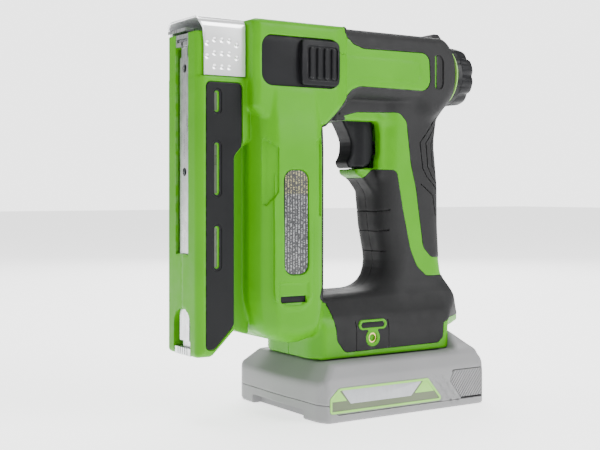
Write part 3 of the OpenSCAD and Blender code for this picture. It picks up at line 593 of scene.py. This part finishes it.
def green_half(side):
    """Field of one green half: the body on one side of the seam, with its cut-outs."""
    def field(x, y, z):
        w = np.abs(y)
        body = nailer(x, y, z)
        body = both(body, SEAM_GAP - side*y)
        body = less(body, both(panel_outline(x, z), 16.7 - w), 0.25)
        body = less(body, brick(x, y, z, (-120, -7.0, 86), (-90.5, 7.0, 204), 0.6))
        body = less(body, brick(x, y, z, (-111.4, -8.8, 87), (-90.5, 8.8, 191.5)))
        arch = either(brick(x, y, z, (-120, -9.2, 20), (-104.2, 9.2, 50)),
                      both(np.hypot(y, z - 49.8) - 9.2, x + 104.2))
        body = less(body, arch, 0.3)
        body = less(body, brick(x, y, z, (-112.0, -5.6, 20), (-90.5, 5.6, 90)))
        body = less(body, brick(x, y, z, (-120, -18, 198.6), (-86, 18, 210)))
        body = less(body, both(trigger_pocket(x, z), w - 22), 0.5)
        body = less(body, brick(x, y, z, (-20, -9.3, 131.6), (12.5, 9.3, 157.6)))
        body = less(body, brick(x, y, z, (-34, -20.9, 20), (90, 20.9, 37.4)))
        for low, high in slot_heights:
            body = less(body, brick(x, y, z, (-103.4, -20, low + 1), (-101.7, 20, high - 1)))
        skin = nailer(x, y, z)
        for zone in (rear_zone, lower_zone, loop_zone):
            body = less(body, both(zone(x, z), -(skin + 1.4)), 0.1)
        body = engrave(body, chain(x, z, inlay_line), 0.55, 0.5, skin)
        if side > 0:
            body = less(body, screw_holes(x, y, z, 3.3), 0.3)
        if side < 0:
            body = less(body, both(track_outline(x, z), 23.6 - w), 0.7)
            body = less(body, both(label_outline(x, z), 28.6 - w), 0.4)
            for cheek in (cheek_front, cheek_rear):
                body = less(body, both(cheek(x, z), -(skin + 0.9)), 0.15)
            body = less(body, both(vent_panel(x, z), 29.3 - w), 0.3)
            body = less(body, brick(x, y, z, (-71.6, -40, 61.2), (-56.2, -24, 64.6)))
        return body
    return field


def green_cavity(side):
    """Field of the space inside one green half: the body less its wall and its pockets."""
    def field(x, y, z):
        space = both(nailer(x, y, z) + 2.8, 1.2 - side*y)
        space = less(space, brick(x, y, z, (-120, -40, 20), (-87.6, 40, 168)))
        space = less(space, brick(x, y, z, (-120, -40, 20), (-90.0, 40, 210)))
        space = less(space, brick(x, y, z, (-28, -12.0, 128.6), (14.6, 12.0, 168)))
        space = less(space, brick(x, y, z, (-36, -23, 20), (90, 23, 39.6)))
        if side > 0:
            space = less(space, screw_holes(x, y + 4, z, 6.5))
        if side < 0:
            space = less(space, both(track_outline(x, z) - 2, 23.0 - np.abs(y)))
            space = less(space, brick(x, y, z, (-80, -40, 40), (-40, -24.0, 160)))
        return space
    return field


SHELL_STEP = 0.98
for side, name in ((-1, "housing_left"), (1, "housing_right")):
    low = (-115, min(0, 31*side) - 1, 27)
    high = (70, max(0, 31*side) + 1, 209)
    shell = contoured(name + "_shell", green_half(side), low, high, SHELL_STEP, green_cavity(side))
    shell.data.materials.append(lime)
    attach(shell, "tool")
    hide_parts(name)


vent_back = plate("vent_back", [(-72.4, 60.4, 0.5), (-55.4, 60.4, 0.5), (-55.4, 65.4, 0.5),
                               (-72.4, 65.4, 0.5)], "y", -28.3, -27.4, 0.1)
vent_back.data.materials.append(black_plastic)
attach(vent_back, "tool")


# ---------------------------------------------------------------- soft overmould
# Dark elastomer skins moulded over the green halves on the barrel, handle, foot and
# inside the finger loop. They are about 1.4 mm thick and stand just proud of the green.
rear_lines = [[(41.4, 160.5), (29.3, 146.0), (31.3, 131.5), (34.6, 126.3), (43, 119.2)],
              [(42.5, 157.2), (33.6, 146.0), (35.0, 132.4), (38, 127.2), (45, 121.0)],
              [(43.5, 153.6), (37.8, 145.8), (38.8, 133.2), (46, 124.0)],
              [(30.1, 122.4), (38.7, 116.2), (41.6, 104.7)]]


def grip_half(side, zone):
    """Field of one skin: the outside of the body inside a zone, on one side of the seam."""
    def field(x, y, z):
        w = np.abs(y)
        skin = nailer(x, y, z)
        body = both(both(zone(x, z) + 0.12, skin - 0.22, 0.55), -(skin + 1.35))
        body = both(body, SEAM_GAP - side*y)
        body = less(body, both(trigger_pocket(x, z), w - 22), 0.3)
        body = less(body, brick(x, y, z, (-34, -20.9, 20), (90, 20.9, 37.4)))
        if side > 0:
            body = less(body, screw_holes(x, y, z, 3.3), 0.2)
        if zone is rear_zone:
            for line in rear_lines:
                body = engrave(body, chain(x, z, line), 0.7, 0.55, skin)
            oval = np.maximum(np.hypot((x - 38.6)/4.4, np.maximum(np.abs(z - 186.2) - 5.4, 0)/4.4)
                              - 1, 12 - w)*3.0
            body = less(body, both(oval, -(skin + 0.8)), 0.5)
            body = less(body, brick(x, y, z, (30, -8.2, 205.4), (56, 8.2, 215), 0.4))
        if zone is lower_zone:
            for place in (106.7, 95.4, 83.5):
                crease = np.maximum(np.abs(z - place - 0.18*(x - 2)), x - 9)
                body = engrave(body, crease, 0.8, 0.45, skin)
            for place in (-23.7, -2.0):
                seam = np.maximum(np.abs(x - place), np.maximum(z - 48.6, 25 - w))
                body = engrave(body, seam, 0.6, 0.6, skin)
            body = less(body, both(np.hypot(x + 12.8, z - 39.5) - 4.8, 20 - w))
        if zone is loop_zone:
            body = both(body, w - 28.8, 0.3)
        return body
    return field


SKIN_STEP = 0.62
for side, hand in ((-1, "left"), (1, "right")):
    for part, zone, low, high in (("rear_grip", rear_zone, (-36, 0, 76), (60, 26, 209)),
                                  ("lower_grip", lower_zone, (-42, 0, 30), (72, 31, 134)),
                                  ("loop_grip", loop_zone, (-50, 0, 56), (-14, 30, 166))):
        near, far = sorted((side*(low[1] - 1), side*high[1]))
        skin = contoured(part + "_skin_" + hand, grip_half(side, zone),
                         (low[0], near, low[2]), (high[0], far, high[2]), SKIN_STEP)
        skin.data.materials.append(soft_grip)
        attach(skin, "tool")
        if part != "loop_grip":
            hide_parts(part + "_" + hand)


# ---------------------------------------------------------------- magazine side panels
# Thin black nylon plates snapped into each side of the nose column. Three slots show
# how many brads are left, and a sunk border runs round each slot.
def side_panel(side):
    """Field of a side panel: a plate with rounded edges and three round-ended slots."""
    def field(x, y, z):
        w = side*y
        plate = both(panel_outline(x, z) + 0.5, both(w - 17.75, 16.75 - w), 0.4)
        for low, high in slot_heights:
            slot = np.hypot(x + 102, np.maximum(np.abs(z - (low + high)/2)
                                                - (high - low)/2 + 1.5, 0)) - 1.5
            plate = less(plate, both(slot - 1.1, 17.3 - w), 0.15)
            plate = less(plate, slot, 0.15)
        return plate
    return field


smoked_window = moulded_plastic("smoked_window", (0.045, 0.062, 0.035), 0.3, 0.06, 0.05)
for side, hand in ((-1, "left"), (1, "right")):
    near, far = sorted((side*16.4, side*18.1))
    panel = contoured("side_panel_plate_" + hand, side_panel(side), (-110, near, 36),
                      (-86, far, 176), 0.42)
    panel.data.materials.append(black_plastic)
    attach(panel, "tool")
    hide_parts("side_panel_" + hand)
    strip = plate("slot_window_" + hand, [(-104.6, 77, 1), (-99.4, 77, 1), (-99.4, 171, 1),
                                          (-104.6, 171, 1)], "y", *sorted((side*15.9, side*16.5)), 0.1)
    strip.data.materials.append(smoked_window)
    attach(strip, "tool")


# ---------------------------------------------------------------- chromed nose cover
# Spring steel bent over the nose and chromed, held by its two side flanges. Each flange
# has a patch of pressed dimples, and its front edge sweeps forward over the top.
def bent_profile(half_width, top, radius, foot, step):
    """Points up one side, round two bends and down the other side, evenly spaced."""
    side = np.arange(foot, top - radius, step)
    turn = np.linspace(0, np.pi/2, 14)
    left = np.stack([np.full(side.shape, -half_width), side], 1)
    bend = np.stack([-half_width + radius*(1 - np.cos(turn)),
                     top - radius*(1 - np.sin(turn))], 1)
    half = np.concatenate([left, bend])
    return np.concatenate([half, (half*[-1, 1])[::-1]])


def nose_cover():
    """A bent profile carried along X, with pits pushed into the flanges.

    Depth of a pit is 0.5 mm times exp(-(distance/0.65 mm)^2)."""
    outer = bent_profile(18.15, 206.45, 5.2, 176.7, 0.4)
    inner = bent_profile(17.15, 205.45, 4.2, 176.7, 0.4)
    inner = inner[np.linspace(0, len(inner) - 1, len(outer)).round().astype(int)]
    t = np.concatenate([[0, 0.004, 0.012], np.linspace(0.02, 0.98, 66), [0.988, 0.996, 1]])
    pinch = np.clip(1 - np.minimum(t, 1 - t)/0.012, 0, 1)
    sweep = np.clip((outer[:, 1] - 197.5)/7.5, 0, 1)
    front = -109.6 - 2.9*sweep*sweep*(3 - 2*sweep)
    x = front[None, :] + (-85.8 - front[None, :])*t[:, None]
    rings = []
    for profile, way in ((outer, -1), (inner, 1)):
        mid = (outer + inner)/2
        yz = profile[None] + (mid - profile)[None]*(0.55*pinch[:, None, None])
        rings.append(np.concatenate([x[..., None], yz], 2)[:, ::-way])
    columns = [(-108.0, (186.0, 192.6)), (-103.9, (181.0, 187.9, 194.6)),
               (-99.6, (181.0, 187.9, 194.6)), (-95.4, (181.0, 187.9, 194.6)),
               (-91.2, (186.0, 192.6))]
    for ring in rings:
        flange = np.abs(ring[..., 1]) > 16
        push = sum(np.exp(-((ring[..., 0] - cx)**2 + (ring[..., 2] - cz)**2)/0.42)
                   for cx, heights in columns for cz in heights)
        ring[..., 1] -= 0.5*np.sign(ring[..., 1])*push*flange
    return closed_loft("nose_cover_bent", np.concatenate(rings, 1), 50)


def chrome_finish():
    """Bright chrome with a slow haze, a painted highlight on the edges and painted shade in the pits.
    """
    f = Finish("chrome", 0.18, metallic=0.6)
    haze = f.noise(25.0)
    unshaded_chrome = f.mix(haze, (0.94, 0.945, 0.96), (0.98, 0.985, 1.0))
    # Painted shade: concave places such as the pressed dimples are darkened towards near black.
    pit = f.ramp(f.add("ShaderNodeNewGeometry").outputs["Pointiness"], 0.42, 0.47, 0.85, 0.0)
    f.bump(f.noise(60.0), 0.05, 0.0001)
    # Convex edges are lightened towards white by a painted highlight.
    return f.finish(f.painted_edge_highlight(f.mix(pit, unshaded_chrome, (0.10, 0.10, 0.11)), (1, 1, 1), 0.5),
                    f.ramp(haze, 0.3, 0.7, 0.14, 0.22))


chrome = chrome_finish()
cover = nose_cover()
cover.data.materials.append(chrome)
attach(cover, "tool")
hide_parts("nose_cover")


# ---------------------------------------------------------------- mode slider and its track
# A black nylon slide with four ribs, which the thumb pushes along a sunk black track to
# choose brads or staples.
track = plate("slider_track", [(-80.8, 172.6, 6.3), (-32.6, 172.6, 6.3), (-32.6, 198.4, 6.3),
                               (-80.8, 198.4, 6.3)], "y", -24.7, -23.4, 0.2)
track.data.materials.append(black_plastic)
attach(track, "tool")


def slider_field(x, y, z):
    """A cushion-shaped block with a curved front edge and four ribs in a sunk field."""
    w = -y
    u = x + 45.6
    crown = 27.7 - 0.004*(z - 185.5)**2
    nose = np.hypot(x + 33.4, (z - 185.5)*0.62) - 24.4
    block = both(both(np.abs(z - 185.5) - 12.0, np.abs(u) - 12.2, 3.0), w - crown, 0.8)
    block = both(both(block, nose, 0.6), 24.85 - w)
    window = both(np.abs(z - 185.2) - 9.0, np.abs(x + 44.6) - 9.6, 2.2)
    block = less(block, both(window, 26.9 - w), 0.3)
    for k in range(4):
        rib = both(np.abs(x + 51.4 - 4.6*k) - 1.25, np.abs(z - 185.2) - 8.2, 1.0)
        block = either(block, both(both(rib, w - 28.1, 0.6), 25 - w), 0.3)
    return block


slider = contoured("mode_slider_ribbed", slider_field, (-59, -28.6, 172.6), (-32.6, -24.4, 198.4),
                   0.4)
slider.data.materials.append(black_plastic)
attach(slider, "slider")
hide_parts("mode_slider")


# ---------------------------------------------------------------- trigger
# A black nylon trigger, hollow behind, turning on a steel pin in the guard. Its front is
# scooped and narrowed for the finger.
trigger_outline = Outline([(-17.2, 158.4, 1.5), (-13.4, 152, 6), (-10.6, 146.0, 8),
                           (-11.2, 139, 8), (-13.9, 134.6, 2.2), (-12, 131.2, 2), (-4, 131.6, 6),
                           (0.4, 133.2, 5), (2.8, 139, 7), (2.8, 150, 6), (1.6, 158, 4),
                           (-2, 162.6, 3), (-14, 163, 2)])


def trigger_field(x, y, z):
    """The side outline, its cheeks falling away to a narrower scooped front."""
    w = np.abs(y)
    toe = np.clip((-3.5 - x)/6.5, 0, 1)
    body = both(trigger_outline(x, z), w - (8.8 - 2.0*toe*toe*(3 - 2*toe)), 1.8)
    return less(body, brick(x, y, z, (-7.6, -6.4, 136), (10, 6.4, 155), 1.0))


trigger = contoured("trigger_blade", trigger_field, (-18, -9.4, 130.4), (2.6, 9.4, 164.4), 0.4)
trigger.data.materials.append(black_plastic)
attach(trigger, "trigger_body")
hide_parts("trigger")


# ---------------------------------------------------------------- power dial and ring
# A black nylon knob on the end of the adjuster screw, with eight finger hollows. A pale
# ring round the barrel's end sits behind it.
def power_dial():
    """Rings along X. Radius falls by a hollow eight times round, deeper towards the back."""
    turn = np.linspace(0, 2*np.pi, 240, endpoint=False)
    along = np.array([56.8, 57.0, 57.6, 60.6, 60.9, 61.3, 64, 67, 69, 70.2, 71.0, 71.4, 71.5,
                      71.2, 71.0, 71.0])
    radius = np.array([16.6, 17.2, 17.7, 17.9, 17.4, 17.7, 17.6, 17.3, 17.0, 16.5, 15.6, 14.4, 13,
                       12.4, 11.8, 0.01])
    depth = np.array([0, 0, 0, 0, 0.3, 0.9, 1.5, 1.75, 1.8, 1.7, 1.3, 0.8, 0.2, 0, 0, 0])
    hollow = np.exp(-((np.mod(turn*8/(2*np.pi) + 0.5, 1) - 0.5)/0.17)**2)
    notch = np.exp(-((np.mod(turn*8/(2*np.pi), 1) - 0.5)/0.05)**2)
    mid = (along > 58) & (along < 66.5)
    r = radius[:, None] - depth[:, None]*hollow[None] - 0.45*mid[:, None]*notch[None]
    x = np.broadcast_to(along[:, None], r.shape)
    return np.stack([x, r*np.sin(turn), DIAL_Z + r*np.cos(turn)], -1)


dial = closed_loft("power_dial_knob", power_dial(), 32)
dial.data.materials.append(black_plastic)
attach(dial, "dial")
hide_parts("power_dial")


def turned(name, profile, around=128):
    """A closed profile of (x, radius) turned about the dial's axis."""
    turn = np.linspace(0, 2*np.pi, around, endpoint=False)[:, None]
    x, r = np.array(profile, float).T
    points = np.stack([np.broadcast_to(x, (around, len(x))), r*np.sin(turn),
                       DIAL_Z + r*np.cos(turn)], -1)
    index = np.arange(around*len(x)).reshape(around, len(x))
    a, b = index, np.roll(index, -1, 0)
    faces = np.stack([a, b, np.roll(b, -1, 1), np.roll(a, -1, 1)], -1).reshape(-1, 4)
    return new_object(name, points.reshape(-1, 3)*MM, faces.tolist(), 40)


ring = turned("dial_ring_turned", [(55.66, 15.2), (55.66, 18.6), (55.8, 18.95), (56.1, 19.0),
                                   (56.5, 18.7), (56.6, 18.3), (56.6, 15.2)])
pale_green = moulded_plastic("pale_green", (0.27, 0.60, 0.10), 0.4, 0.04, 0.1)
ring.data.materials.append(pale_green)
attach(ring, "tool")
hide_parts("dial_ring")


# ---------------------------------------------------------------- lock switch
# A black wedge on top of the barrel, pushed back to lock the trigger. A finger step
# stands at its rear.
lock = plate("lock_switch_wedge", [(34.0, 205.9, 0.2), (54, 205.9, 0.4), (54, 208.2, 0.8),
                                   (51.6, 210.6, 1.0), (48.4, 210.7, 0.8), (46.8, 209.2, 0.8),
                                   (40, 207.9, 6), (34.2, 206.6, 0.3)], "y", -6.9, 6.9, 0.5)
lock.data.materials.append(black_plastic)
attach(lock, "lock")
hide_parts("lock_switch")


# ---------------------------------------------------------------- belt hook eyes
# Green nylon of the housings standing through the overmould on each side of the foot: a
# slot for the hook's tongue, and a ring round the brass insert below it.
def hook_eye(side):
    """Field of a slotted bar joined to a round eye with a neck."""
    def field(x, y, z):
        w = side*y
        bar = np.hypot(np.maximum(np.abs(x + 12.8) - 6.6, 0), z - 46.6) - 2.7
        slot = np.hypot(np.maximum(np.abs(x + 12.8) - 6.2, 0), z - 46.6) - 1.5
        eye = np.hypot(x + 12.8, z - 39.5) - 4.7
        neck = both(np.abs(x + 12.8) - 2.4, np.abs(z - 43) - 1.6)
        flat = either(either(bar, eye, 1.0), neck, 2.0)
        flat = less(less(flat, slot, 0.2), np.hypot(x + 12.8, z - 39.5) - 2.7, 0.2)
        return both(both(flat, w - 29.0, 0.45), 26.5 - w)
    return field


for side, hand in ((-1, "left"), (1, "right")):
    near, far = sorted((side*26.2, side*29.4))
    eye = contoured("hook_eye_" + hand, hook_eye(side), (-23, near, 33.5), (-2.4, far, 50.5), 0.35)
    eye.data.materials.append(lime)
    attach(eye, "tool")
    slot_back = plate("hook_slot_" + hand, [(-20.4, 44.9, 1.6), (-5.2, 44.9, 1.6), (-5.2, 48.3, 1.6),
                                            (-20.4, 48.3, 1.6)], "y", *sorted((side*28.0, side*28.75)),
                      0.1)
    slot_back.data.materials.append(black_plastic)
    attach(slot_back, "tool")


# ---------------------------------------------------------------- battery pack
# Five flat cells in a grey two-part nylon case with bowed front, chamfered shoulders and
# a hump behind the foot. It slides on from behind and latches by the side buttons.
pack_plan = Outline([(-56.9, 0, 90), (-55.6, -37.5, 4), (-52.6, -44.3, 3), (52, -44.3, 4),
                     (56.8, -38, 5), (56.8, 38, 5), (52, 44.3, 4), (-52.6, 44.3, 3),
                     (-55.6, 37.5, 4)])
pack_side = Outline([(-56.8, 0, 1), (56.8, 0, 1.5), (56.8, 22, 7), (53, 30.5, 6), (42, 40, 5),
                     (34, 40, 3), (34, 29.7, 1), (-45, 29.7, 5), (-56.8, 18.5, 6)])
hump_plan = Outline([(40.5, -36, 2), (57, -36, 5), (57, 36, 5), (40.5, 36, 2)])
side_frame = [(-54.4, 4.0), (-52.6, 17.6), (-46.6, 21.6), (44.2, 21.6), (51.4, 18.6), (53.4, 4.0)]
label_frame = Outline([(-50.8, 5.2, 1.2), (22.8, 5.2, 1.2), (12.6, 17.2, 1.2),
                       (-45.6, 17.2, 2.5), (-50.8, 12.6, 1.5)])
latch_plan = Outline([(26.5, 14.6, 1), (35.4, 3.4, 1), (53, 3.4, 1), (53, 21.5, 1), (30.4, 21.5, 1)])


def pack_field(x, y, z):
    """The case as one field, before it is split into base and lid."""
    w = np.abs(y)
    shoulder = ((w - 44.3)*12.0 + (z - 19.5)*9.5)/15.3
    body = both(both(pack_side(x, z), pack_plan(x, y), 1.5), shoulder, 2.5)
    low = both(both(pack_plan(x, y), z - 29.6), shoulder, 2.5)
    hump = both(both(hump_plan(x, y), pack_side(x, z)), ((w - 36.0)*8 + (z - 30)*7)/10.6, 2.5)
    body = either(both(body, both(low, pack_side(x, z), 1.5)), hump, 3.0)
    body = less(body, brick(x, y, z, (-60, -26, -2), (-50.5, 26, 5.0), 1.0), 0.6)
    skin = w - 44.3
    frame_cut = both(chain(x, z, side_frame) - 0.45, -(skin + 0.6))
    body = less(body, frame_cut, 0.25)
    body = less(body, both(both(label_frame(x, z) - 1.0, 43.75 - w), z - 40), 0.15)
    grooves = np.abs(np.mod((x + 0.82*z)/1.62 - 0.3, 3.0) - 1.5)*1.25
    ramp_zone = both(np.abs(x + 0.82*z - 34.5) - 5.2, both(3.4 - z, z - 20.5))
    body = less(body, both(both(ramp_zone, grooves - 0.8), -(skin + 0.7)), 0.2)
    return less(body, both(latch_plan(x, z) + 1.2, 41.2 - w), 0.3)


def pack_part(lower):
    """The lower tray or the upper lid, split at 4 mm with a fine gap."""
    def field(x, y, z):
        body = pack_field(x, y, z)
        split = 4.0 + np.clip(-(x + 46)/6, 0, 1)*5.2
        return both(body, (z - split + 0.12) if lower else (split + 0.12 - z), 0.25)
    return field


base = contoured("battery_tray", pack_part(True), (-58.6, -46, -0.8), (58.4, 46, 10), 0.8)
base.data.materials.append(pack_grey)
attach(base, "battery")
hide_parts("battery_base")
lid = contoured("battery_case", pack_part(False), (-58.6, -46, 3), (62, 46, 41), 0.8)
lid.data.materials.append(pack_grey)
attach(lid, "battery")
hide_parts("battery_lid")


def release_field(side):
    """Field of a release button: a block with slanting teeth cut into its face."""
    def field(x, y, z):
        w = side*y
        block = both(latch_plan(x, z) + 1.6, w - 43.9, 0.5)
        teeth = np.abs(np.mod((x - 0.8*z)/1.9, 1.0) - 0.5)*3.0 - 0.62
        block = less(block, both(teeth, 43.35 - w), 0.1)
        return both(block, 37.6 - w)
    return field


for side, hand in ((-1, "left"), (1, "right")):
    near, far = sorted((side*37.2, side*44.2))
    button = contoured("release_button_" + hand, release_field(side), (27.4, near, 3.6),
                       (53, far, 21.4), 0.4)
    button.data.materials.append(pack_grey)
    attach(button, "button_" + hand)
    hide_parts("release_" + hand)


# ---------------------------------------------------------------- battery side labels
# Foil labels let into both sides of the pack, left blank: a pale green border, a silver
# panel in the middle and a pale green field at each end.
def label_parts(side, hand):
    """The border as a raised ring, the ground inside it and three flat fields on top."""
    def border(x, y, z):
        w = side*y
        edge = label_frame(x, z)
        return both(both(both(edge - 0.4, -(edge + 0.8)), w - 44.2, 0.15), 43.5 - w)
    near, far = sorted((side*43.3, side*44.4))
    rim = contoured("pack_label_border_" + hand, border, (-53, near, 3.6), (26, far, 19.4), 0.35)
    fields = [("silver", silver, [(-44.0, 16.4, 0.3), (-38.4, 9.2, 0.3), (1.2, 9.2, 0.3),
                                  (8.2, 16.4, 0.3)]),
              ("front", pale_green, [(-50.0, 11.0, 0.3), (-40.8, 11.0, 0.3), (-45.4, 16.4, 0.3),
                                     (-50.0, 12.8, 0.3)]),
              ("rear", pale_green, [(3.6, 10.4, 0.3), (17.2, 10.4, 0.3), (12.2, 16.4, 0.3),
                                    (9.4, 16.4, 0.3)]),
              ("ground", olive, [(-50.2, 5.8, 0.5), (21.8, 5.8, 0.5), (12.4, 16.7, 0.5),
                                 (-45.4, 16.7, 0.5), (-50.2, 12.6, 0.5)])]
    pieces = [(rim, pale_green)]
    for name, finish, corners in fields:
        deep = 43.95 if name == "ground" else 44.05
        span = sorted((side*43.4, side*deep))
        pieces.append((plate("pack_label_" + name + "_" + hand, corners, "y", *span, 0.05), finish))
    return pieces


silver = metal("silver_foil", (0.40, 0.41, 0.43), 0.42, (1, 1, 0.2), 0.1)
olive = moulded_plastic("label_ground", (0.12, 0.15, 0.085), 0.45, 0.06, 0.1)
for side, hand in ((-1, "left"), (1, "right")):
    for number, (piece, finish) in enumerate(label_parts(side, hand)):
        piece.data.materials.append(finish)
        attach(piece, "battery")
        if side < 0 and number == 0:
            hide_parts("battery_labels")


# ---------------------------------------------------------------- rating plate
# A printed foil plate in a round-ended recess on the tower, left blank but for rows of
# fine grey specks and a yellowish band near its top.
def rating_finish():
    """Dark foil with rows of small pale specks, and a warmer band over the top fifth."""
    f = Finish("rating_foil", 0.45, specular=0.5)
    axes = f.add("ShaderNodeSeparateXYZ")
    f.put(axes.inputs[0], f.where)
    rows = f.math("FRACT", f.math("MULTIPLY", axes.outputs["X"], 620.0))
    line = f.ramp(f.math("ABSOLUTE", f.math("SUBTRACT", rows, 0.5)), 0.22, 0.30, 1.0, 0.0)
    speck = f.ramp(f.noise(1500.0, 2.0, f.stretch((0.6, 1, 1))), 0.48, 0.56)
    ink = f.math("MULTIPLY", line, speck)
    warm = f.ramp(axes.outputs["Z"], 0.1165, 0.1175)
    pale = f.mix(warm, (0.42, 0.43, 0.44), (0.50, 0.46, 0.20))
    f.bump(ink, 0.15, 0.00005)
    return f.finish(f.mix(f.math("MULTIPLY", ink, 0.6), (0.018, 0.018, 0.021), pale),
                    f.ramp(f.noise(300.0), 0.3, 0.7, 0.35, 0.5))


rating = plate("rating_plate", [(-69.3, 75.7, 5.2), (-55.1, 75.7, 5.2), (-55.1, 129.1, 5.2),
                                (-69.3, 129.1, 5.2)], "y", -29.2, -28.5, 0.12)
rating.data.materials.append(rating_finish())
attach(rating, "tool")
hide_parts("label_plate")


# ---------------------------------------------------------------- CAD parts that stay
# Pressed, turned and moulded parts whose CAD shape is the real one get their finish here.
def dress(finish, *nodes):
    """Put one finish on CAD nodes."""
    for node in nodes:
        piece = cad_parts[node]
        piece.data.materials.clear()
        piece.data.materials.append(finish)


spring_steel = metal("spring_steel", (0.42, 0.43, 0.45), 0.28, (1, 1, 1), 0.1)
ground_steel = metal("ground_steel", (0.62, 0.63, 0.65), 0.2, (0.05, 1, 1), 0.06)
forged_steel = metal("forged_steel", (0.26, 0.27, 0.28), 0.42, (1, 1, 1), 0.3)
sintered_steel = metal("sintered_steel", (0.40, 0.38, 0.34), 0.48, (1, 1, 1), 0.4)
zinc_plate = metal("zinc_plate", (0.52, 0.54, 0.56), 0.38, (1, 0.2, 1), 0.15)
brass = metal("brass", (0.74, 0.53, 0.23), 0.3, (1, 0.1, 1), 0.1)
nickel = metal("nickel_strip", (0.64, 0.62, 0.58), 0.28, (1, 1, 0.1), 0.1)
die_cast = metal("die_cast", (0.34, 0.35, 0.36), 0.5, (1, 1, 1), 0.5)
brad_wire = metal("brad_wire", (0.60, 0.60, 0.58), 0.32, (0.04, 1, 1.3), 0.7)
rubber = moulded_plastic("rubber", (0.012, 0.012, 0.013), 0.75, 0.15, 0.5, 0.2)
board_resin = moulded_plastic("board_resin", (0.010, 0.085, 0.028), 0.38, 0.12, 0.1)
cell_wrap = moulded_plastic("cell_wrap", (0.02, 0.075, 0.20), 0.32, 0.08, 0.08)
wire_red = moulded_plastic("wire_red", (0.40, 0.018, 0.012), 0.42, 0.08, 0.15)
dress(bright_steel, "mag_rail", "mag_latch", "mag_channel", "nose_block", "nose_plate")
dress(brad_wire, "brad_strip")
dress(forged_steel, "pusher", "hammer", "housing_screws", "trigger_pin")
dress(spring_steel, "main_spring", "pusher_spring", "trigger_spring", "driver_blade")
dress(ground_steel, "guide_rod", "motor_shaft", "blade_pin", "adjuster_screw")
dress(zinc_plate, "mech_frame", "motor_can", "spring_seat")
dress(sintered_steel, "sun_gear", "planet_1", "planet_2", "planet_3", "lifter_gear",
      "planet_carrier")
dress(die_cast, "gear_case")
dress(brass, "hook_inserts")
dress(nickel, "cell_tabs")
dress(rubber, "bumper")
dress(black_plastic, "motor_cap", "switch_body", "switch_plunger", "terminal_block")
dress(board_resin, "control_board", "battery_board")
dress(cell_wrap, "cells")
dress(wire_red, "wiring")
